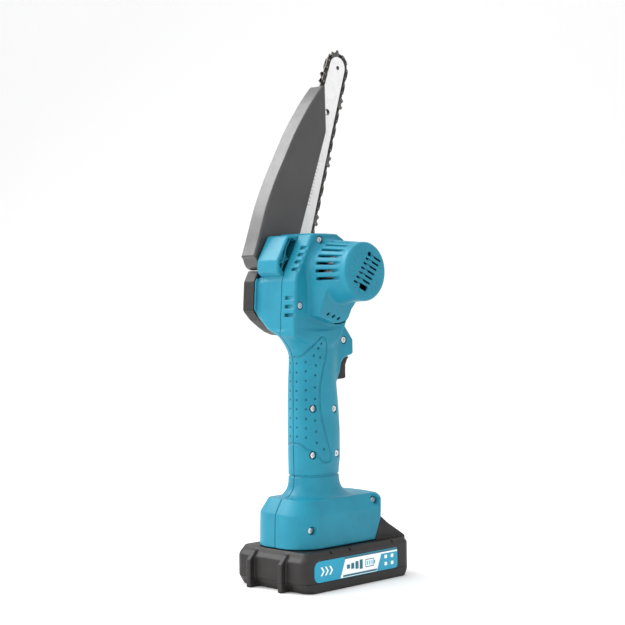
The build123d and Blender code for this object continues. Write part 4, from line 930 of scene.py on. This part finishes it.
# =====================================================================
# shader helpers
# =====================================================================
class Signal:
    """A shader output; arithmetic on it makes Math nodes."""

    def __init__(self, tree, out):
        self.tree, self.out = tree, out

    def math(self, operation, *others):
        return node(self.tree, "Math", dict(enumerate((self,) + others)), operation=operation)

    def __add__(self, other):
        return self.math("ADD", other)

    def __sub__(self, other):
        return self.math("SUBTRACT", other)

    def __mul__(self, other):
        return self.math("MULTIPLY", other)

    def abs(self):
        return self.math("ABSOLUTE")

    def max(self, other):
        return self.math("MAXIMUM", other)

    def min(self, other):
        return self.math("MINIMUM", other)

    def less(self, other):
        return self.math("LESS_THAN", other)

    def hypot(self, other):
        return (self * self + other * other).math("SQRT")

    def mod(self, other):
        return self.math("FLOORED_MODULO", other)

    def within(self, centre, half):
        """1 inside a band, 0 outside."""
        return (self - centre).abs().less(half)


def plug(tree, target, inputs):
    """Link signals to a node's inputs and write plain values."""
    for key, value in inputs.items():
        if isinstance(value, Signal):
            tree.links.new(value.out, target.inputs[key])
        else:
            target.inputs[key].default_value = value


def node(tree, kind, inputs=None, output=0, **settings):
    """Make a node and return one of its outputs as a signal."""
    made = tree.nodes.new("ShaderNode" + kind)
    for key, value in settings.items():
        setattr(made, key, value)
    plug(tree, made, inputs or {})
    return Signal(tree, made.outputs[output])


def position(tree):
    """Object coordinates in mm."""
    coords = node(tree, "TexCoord", output="Object")
    return node(tree, "VectorMath", {0: coords, "Scale": 1000.0}, operation="SCALE")


def split_xyz(vector):
    split = node(vector.tree, "SeparateXYZ", {0: vector})
    return [Signal(vector.tree, out) for out in split.out.node.outputs]


def noise(vector, scale, detail, rough, distortion=0.0):
    return node(vector.tree, "TexNoise", {
        "Scale": scale, "Detail": detail, "Roughness": rough, "Distortion": distortion,
        "Vector": vector,
    }, output="Fac")


def ramp(factor, first, last):
    """Colour ramp between two (position, colour) stops."""
    made = node(factor.tree, "ValToRGB", {0: factor})
    for element, stop in zip(made.out.node.color_ramp.elements, (first, last)):
        element.position, element.color = stop
    return made


def mix(tree, factor, below, above, **settings):
    inputs = {0: factor, 6: below, 7: above}
    return node(tree, "Mix", inputs, output=2, data_type="RGBA", **settings)


def bevel(tree, radius_mm):
    """Normal softened over edges."""
    return node(tree, "Bevel", {"Radius": radius_mm * MM}, samples=4)


def bump(height, strength, distance_m, **inputs):
    settings = {"Strength": strength, "Distance": distance_m, "Height": height, **inputs}
    return node(height.tree, "Bump", settings)


def grey(value):
    return (value, value, value, 1.0)


def srgb(*channels):
    """Linear colour from 0-255 display values."""
    def linear(value):
        value /= 255.0
        return value / 12.92 if value <= 0.04045 else ((value + 0.055) / 1.055) ** 2.4
    return (*map(linear, channels), 1.0)


def new_material(name):
    material = bpy.data.materials.new(name)
    material.use_nodes = True
    tree = material.node_tree
    return material, tree, tree.nodes["Principled BSDF"]


def edge_mask(tree):
    """Bright where the surface turns sharply: worn edges."""
    geometry = node(tree, "NewGeometry", output="Normal")
    inputs = {0: geometry, 1: bevel(tree, radius_mm=0.7)}
    match = node(tree, "VectorMath", inputs, output="Value", operation="DOT_PRODUCT")
    limits = {"Value": match, "From Min": 1.0 - 0.02, "From Max": 1.0 - 0.16}
    return node(tree, "MapRange", limits, output="Result")


# =====================================================================
# materials; colours are 0-255 display values
# =====================================================================
def plastic(name, base, dark, rough, grain, bumps, spec=0.45, wear=None, painted_shade_strength=0.0, painted_shade_color=None):
    """Moulded plastic: grain, faint blotches, scuffs, paler edges and painted shade in recesses.
    """
    material, tree, shader = new_material(name)
    place = position(tree)
    blotches = noise(place, scale=0.035, detail=4.0, rough=0.55)
    color = ramp(blotches, (0.30, srgb(*dark)), (0.72, srgb(*base)))
    # handling marks
    smears = noise(place, scale=0.22, detail=6.0, rough=0.7, distortion=1.5)
    rubbed = ramp(smears, (0.56, grey(0.0)), (0.78, grey(1.0)))
    if wear is not None:
        chips = noise(place, scale=0.6, detail=5.0, rough=0.65)
        worn = (edge_mask(tree) * chips * 0.55).min(1.0)
        color = mix(tree, worn, color, srgb(*wear))
    # painted shade: the base colour is darkened where ambient occlusion finds recesses, creases
    # and slots
    if painted_shade_strength > 0:
        inputs = {"Distance": 0.0022}
        open_sky = node(tree, "AmbientOcclusion", inputs, output="AO", samples=6)
        shade = ramp(open_sky, (0.25, grey(painted_shade_strength)), (0.85, grey(0.0)))
        color = mix(tree, shade, color, srgb(*painted_shade_color))
    sheen = noise(place, scale=0.12, detail=5.0, rough=0.6) * 0.16 + (rough - 0.08)
    fine = noise(place, scale=grain, detail=4.0, rough=0.6)
    plug(tree, shader, {
        "Base Color": color, "Roughness": sheen + rubbed * 0.07,
        "Specular IOR Level": spec, "Coat Roughness": 0.25,
        "Normal": bump(fine, strength=bumps, distance_m=0.0002),
    })
    return material


def metal(name, base, dark, rough, bumps=0.06, edge=0.25, grime=None, metallic=1.0):
    """Metal with streaks along the bar, a little grime and softened edges (edge in mm)."""
    material, tree, shader = new_material(name)
    place = position(tree)
    drawn = node(tree, "Mapping", {
        "Vector": place, "Rotation": (0.0, -BAR_LEAN, 0.0), "Scale": (1.0, 1.0, 0.05),
    })
    streaks = noise(drawn, scale=1.6, detail=6.0, rough=0.65)
    blotches = noise(place, scale=0.06, detail=4.0, rough=0.6)
    color = ramp(streaks, (0.25, srgb(*dark)), (0.75, srgb(*base)))
    if grime is not None:
        patches = noise(place, scale=0.25, detail=7.0, rough=0.7)
        dirty = ramp(patches, (0.5, grey(0.0)), (0.75, grey(0.75)))
        color = mix(tree, dirty, color, srgb(*grime))
    soft = {"Normal": bevel(tree, edge)} if edge > 0 else {}
    plug(tree, shader, {
        "Base Color": color, "Metallic": metallic,
        "Roughness": streaks * 0.18 + (rough - 0.09) + (blotches - 0.5) * 0.14,
        "Normal": bump(streaks, strength=bumps, distance_m=0.0001, **soft),
    })
    return material


def label_material():
    """Printed film; u runs 0 to 90 along the label, v 0 to 15 up it."""
    material, tree, shader = new_material("label_print")
    place = position(tree)
    x, y, z = split_xyz(place)
    cyan, white, teal = srgb(0, 152, 186), srgb(246, 251, 252), srgb(10, 104, 122)
    pale = srgb(120, 200, 212)
    u = (x + (LABEL_HALF_X - LABEL_X)) * 0.9534
    v = (z - (LABEL_Z - LABEL_HALF_Z)) * 0.926
    slant = u - v * 0.42

    def box(centre_u, centre_v, half_u, half_v, radius=0.25):
        off_u = (u - centre_u).abs() - (half_u - radius)
        off_v = (v - centre_v).abs() - (half_v - radius)
        outside = off_u.max(0.0).hypot(off_v.max(0.0)) + off_u.max(off_v).min(0.0)
        return (outside - radius).less(0.0)

    color = mix(tree, 0.0, cyan, cyan)
    middle = 7.6
    prints = [
        # white band between two slanting edges
        (slant.within(46.6, 19.8) * v.within(7.5, 7.1), white),
        # stripes along the lower and the upper edge
        (slant.within(47.6, 18.4) * v.within(1.5, 0.7), teal),
        (u.within(60.0, 28.6) * v.within(14.0, 0.75), teal),
        (u.within(61.0, 28.4) * v.within(12.7, 0.55), white),
    ]
    # charge bars on the band
    prints += [(box(35.5 + 4.6 * k, middle, 1.7, 1.5 + 0.62 * k), teal) for k in range(4)]
    # outline of a cell with its terminal and three bars
    frame_line = box(58.6, middle, 4.8, 2.9, 0.6) - box(58.6, middle, 4.2, 2.3, 0.3)
    prints += [(frame_line, teal), (box(64.0, middle, 0.5, 1.2, 0.2), teal)]
    prints += [(box(56.0 + 2.6 * k, middle, 0.85, 1.55, 0.2), pale) for k in range(3)]
    # plain blocks and chevrons at the ends
    prints += [
        (box(block_u, block_v, 1.45, 1.25, 0.5), white)
        for block_v in (9.6, 4.4) for block_u in (76.6, 83.8)
    ]
    for k in range(3):
        chevron = ((u - (9.5 + 4.4 * k)) + (v - middle).abs() * 0.75).abs().less(0.75)
        prints.append((chevron * v.within(middle, 3.1), white))
    for shape, ink in prints:
        color = mix(tree, shape, color, ink)
    specks = noise(place, scale=0.4, detail=6.0, rough=0.7)
    grit = ramp(specks, (0.62, grey(0.0)), (0.82, grey(0.35)))
    ripple = noise(place, scale=1.2, detail=4.0, rough=0.6)
    plug(tree, shader, {
        "Base Color": mix(tree, grit, color, srgb(170, 185, 190)),
        "Roughness": noise(place, scale=0.2, detail=4.0, rough=0.6) * 0.18 + 0.24,
        "Normal": bump(ripple, strength=0.05, distance_m=0.0001),
    })
    return material


BAR_HOLES = [(52.7, 414.3, 1.5), (39.7, 376.5, 2.4)]    # x, z, radius


def bar_marks(material):
    """Dark hole walls, a plain scale of ticks and a fall-off towards the tail."""
    tree = material.node_tree
    shader = tree.nodes["Principled BSDF"]
    x, y, z = split_xyz(position(tree))
    color = Signal(tree, shader.inputs["Base Color"].links[0].from_socket)
    off_x, off_z = x - BAR_TAIL[0], z - BAR_TAIL[1]
    rise = off_x * math.sin(BAR_LEAN) + off_z * math.cos(BAR_LEAN)
    across = off_x * math.cos(BAR_LEAN) - off_z * math.sin(BAR_LEAN)
    fade = ramp(rise * 0.0055, (0.1, grey(0.70)), (0.95, grey(1.0)))
    color = mix(tree, 1.0, color, fade, blend_type="MULTIPLY")
    # ticks 0.55 mm wide every 3.2 mm, over 40 mm of the bar
    tick = (rise - 79.0).mod(3.2).less(0.55) * across.within(1.7, 2.4) * rise.within(99.0, 20.0)
    color = mix(tree, tick * 0.8, color, srgb(176, 92, 84))
    for hole_x, hole_z, radius in BAR_HOLES:
        near = (x - hole_x).hypot(z - hole_z).less(radius + 0.25)
        color = mix(tree, near, color, srgb(30, 29, 29))
    plug(tree, shader, {"Base Color": color})


def assign(piece, material):
    piece.data.materials.clear()
    piece.data.materials.append(material)


# =====================================================================
# build the pieces
# =====================================================================
motor_shell, sprocket_shell = housing_halves()
cap_shell = end_cap()
cover_shell = cover()
guard_shell = guard()
trigger_shell = trigger_piece()
lock_cap = lock_button()
tray_shell = battery_lower()
case_shell = battery_upper()
latch_shell = latch_piece()
label_film = label_plate()

# the teal and black mouldings darken their recesses with painted shade
MOULDINGS = [
    (plastic(
        "teal_moulding", base=(30, 136, 160), dark=(24, 122, 147), rough=0.43, spec=0.28,
        grain=1.1, bumps=0.10, wear=(96, 176, 192), painted_shade_strength=0.9, painted_shade_color=(6, 50, 64),
    ), [motor_shell, sprocket_shell, cap_shell]),
    (plastic(
        "black_moulding", base=(42, 40, 39), dark=(33, 31, 31), rough=0.48, spec=0.32,
        grain=2.2, bumps=0.35, wear=(88, 84, 82), painted_shade_strength=0.6, painted_shade_color=(12, 11, 11),
    ), [tray_shell, case_shell]),
    (plastic(
        "cover_moulding", base=(40, 39, 39), dark=(32, 31, 31), rough=0.48, spec=0.32,
        grain=1.8, bumps=0.28, wear=(96, 91, 88),
    ), [cover_shell]),
    (plastic(
        "guard_moulding", base=(66, 65, 66), dark=(56, 55, 56), rough=0.36, spec=0.55,
        grain=1.4, bumps=0.08, wear=(126, 126, 126),
    ), [guard_shell]),
    (plastic(
        "trigger_moulding", base=(40, 38, 38), dark=(31, 30, 30), rough=0.45, spec=0.32,
        grain=2.0, bumps=0.25, wear=(84, 82, 80),
    ), [trigger_shell, lock_cap, latch_shell]),
    (label_material(), [label_film]),
]
for material, pieces in MOULDINGS:
    for piece in pieces:
        assign(piece, material)

bar_steel = metal(
    "bar_steel_ground", base=(252, 252, 252), dark=(238, 238, 239), rough=0.34, bumps=0.05,
    edge=0.2, grime=(222, 219, 215), metallic=0.55,
)
bar_marks(bar_steel)
chain_steel = metal(
    "chain_steel_blued", base=(92, 89, 87), dark=(44, 42, 41), rough=0.32, bumps=0.1,
    grime=(60, 45, 34),
)
cutter_steel = metal(
    "cutter_plated", base=(132, 130, 128), dark=(74, 72, 70), rough=0.26, bumps=0.08, edge=0.2,
    grime=(70, 62, 54),
)
rivet_steel = metal(
    "rivet_bright", base=(150, 149, 147), dark=(108, 106, 104), rough=0.3, bumps=0.05, edge=0.2,
    grime=(80, 70, 60),
)
screw_zinc = metal(
    "screw_zinc", base=(246, 248, 250), dark=(206, 208, 212), rough=0.24, bumps=0.05, edge=0.2,
    grime=(140, 140, 142), metallic=0.85,
)
spring_wire = metal("spring_wire", base=(150, 148, 146), dark=(90, 88, 86), rough=0.3, edge=0.0)
gear_steel = metal(
    "gear_steel_oiled", base=(150, 144, 132), dark=(96, 90, 80), rough=0.28, edge=0.15,
    grime=(60, 46, 30),
)
motor_steel = metal(
    "motor_steel", base=(168, 168, 170), dark=(120, 120, 124), rough=0.3, edge=0.2,
    grime=(90, 84, 78),
)
alloy = metal(
    "cast_alloy", base=(176, 178, 180), dark=(130, 132, 135), rough=0.45, bumps=0.25, edge=0.3,
    grime=(100, 96, 90),
)
brass = metal(
    "contact_brass", base=(214, 178, 104), dark=(168, 132, 70), rough=0.28, edge=0.15,
    grime=(110, 84, 50),
)
wire_red = plastic(
    "wire_sleeve", base=(176, 34, 28), dark=(130, 22, 20), rough=0.4, grain=1.5, bumps=0.1
)
board_green = plastic(
    "board_lacquer", base=(22, 92, 58), dark=(14, 66, 42), rough=0.35, grain=0.8, bumps=0.2
)
cell_blue = plastic(
    "cell_wrap", base=(50, 108, 168), dark=(36, 84, 140), rough=0.3, grain=0.5, bumps=0.05
)
inner_black = plastic(
    "inner_moulding", base=(52, 50, 50), dark=(38, 37, 37), rough=0.55, grain=1.6, bumps=0.2
)

NODE_MATERIALS = [
    (bar_steel, ["guide_bar"]),
    (chain_steel, ["chain_drive_links", "chain_tie_straps"]),
    (cutter_steel, ["chain_cutters_left", "chain_cutters_right"]),
    (rivet_steel, ["chain_rivets"]),
    (screw_zinc, ["housing_screws", "battery_case_screws", "guard_pivot_pin", "cover_nut"]),
    (gear_steel, ["bar_stud", "drive_sprocket", "output_shaft", "spur_gear", "motor_pinion"]),
    (spring_wire, [
        "sprocket_clip", "guard_spring", "trigger_spring", "lock_off_spring", "latch_spring",
    ]),
    (motor_steel, [
        "bar_plate", "output_bearing_outer", "output_bearing_inner", "motor_can", "motor_rotor",
    ]),
    (alloy, ["gear_plate"]),
    (inner_black, ["cooling_fan", "trigger_switch", "terminal_block"]),
    (board_green, ["control_board"]),
    (wire_red, ["power_wires", "motor_wires"]),
    (cell_blue, ["battery_cells"]),
    (brass, ["battery_terminals"]),
]
shown = {o.name: o for o in bpy.context.scene.objects if o.type == "MESH"}
for material, names in NODE_MATERIALS:
    for name in names:
        # an object may carry a numbered copy of the node's name, or not be there
        same_stem = (o for key, o in shown.items() if key.split(".")[0] == name)
        piece = shown.get(name) or next(same_stem, None)
        if piece is not None:
            assign(piece, material)


def live_spring(node_name, body):
    """A copy of a spring, riding on a body and shown in place of the rigid one."""
    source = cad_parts[node_name]
    bpy.context.view_layer.update()
    mesh = source.data.copy()
    mesh.transform(source.matrix_world)
    mesh.materials.clear()
    mesh.materials.append(spring_wire)
    coil = add_object(node_name + "_coil", mesh)
    mount(coil, body, node_name)
    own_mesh(coil)


live_spring(
    "trigger_spring", "housing",
)
live_spring(
    "lock_off_spring", "housing",
)
live_spring(
    "latch_spring", "battery",
)


# =====================================================================
# studio, in metres
# =====================================================================
def studio_floor():
    """Pale floor that runs up into a pale wall on the far side from the camera."""
    heading = math.radians(45.5)
    away = Vector((math.sin(heading), math.cos(heading), 0.0))
    across = Vector((away.y, -away.x, 0.0))
    bend_start, bend, wall_top = 1.4, 1.2, 4.5
    profile = [(-3.0, 0.0), (bend_start, 0.0)]
    for k in range(1, 17):
        angle = math.radians(90 * k / 16)
        profile.append((bend_start + bend * math.sin(angle), bend - bend * math.cos(angle)))
    profile.append((bend_start + bend, wall_top))
    build = bmesh.new()
    rows = [
        [
            build.verts.new(away * reach + across * side + Vector((0, 0, z - 0.0001)))
            for side in np.linspace(-4, 4, 9)
        ]
        for reach, z in profile
    ]
    for near, far in zip(rows, rows[1:]):
        for k in range(8):
            build.faces.new((near[k], near[k + 1], far[k + 1], far[k]))
    mesh = close_bmesh(build, "studio_floor")
    mesh.shade_smooth()
    floor = add_object("studio_floor", mesh)
    paper, tree, shader = new_material("studio_paper")
    plug(tree, shader, {
        "Base Color": grey(0.93), "Roughness": 0.9, "Specular IOR Level": 0.1,
    })
    mesh.materials.append(paper)


def studio_air():
    world = bpy.data.worlds.new("studio_air")
    world.use_nodes = True
    background = world.node_tree.nodes["Background"]
    plug(world.node_tree, background, {0: grey(1.0), 1: 0.85})
    bpy.context.scene.world = world


def area_light(name, place, target, size, power):
    """Square area light aimed at a point."""
    light = bpy.data.lights.new(name, "AREA")
    light.shape = "RECTANGLE"
    light.size = light.size_y = size
    light.energy = power
    lamp = add_object(name, light)
    lamp.location = place
    aim = Vector(target) - Vector(place)
    lamp.rotation_euler = aim.to_track_quat("-Z", "Y").to_euler()


def camera():
    data = bpy.data.cameras.new("camera")
    data.sensor_width = 36.0
    data.lens = 86.4
    data.shift_y = -0.028
    data.clip_start, data.clip_end = 0.05, 20.0
    eye = add_object("camera", data)
    eye.location = (-0.8551, -0.8298, 0.2253)
    ahead = Vector((0.7133, 0.7009, 0.0)).normalized()
    right = ahead.cross(Vector((0, 0, 1))).normalized()
    up = right.cross(ahead).normalized()
    # rolled by half a degree
    roll = math.radians(-0.5)
    right, up = (
        right * math.cos(roll) + up * math.sin(roll),
        up * math.cos(roll) - right * math.sin(roll),
    )
    columns = zip(right, up, -ahead, eye.location)
    eye.matrix_world = Matrix([*columns, (0, 0, 0, 1)])
    bpy.context.scene.camera = eye


studio_floor()
studio_air()
MIDDLE = (0.0, 0.0, 0.22)
area_light("key", (-1.5, 0.35, 0.95), MIDDLE, size=1.2, power=14)
area_light("top", (0.1, 0.1, 1.7), MIDDLE, size=1.4, power=7)
area_light("fill", (0.2, -1.7, 0.7), MIDDLE, size=1.2, power=3)
area_light("back", (-0.46, 1.05, 1.2), (-0.04, 0.03, 0.30), size=0.8, power=17)
camera()
view = bpy.context.scene.view_settings
view.view_transform = "Standard"
view.look = "None"
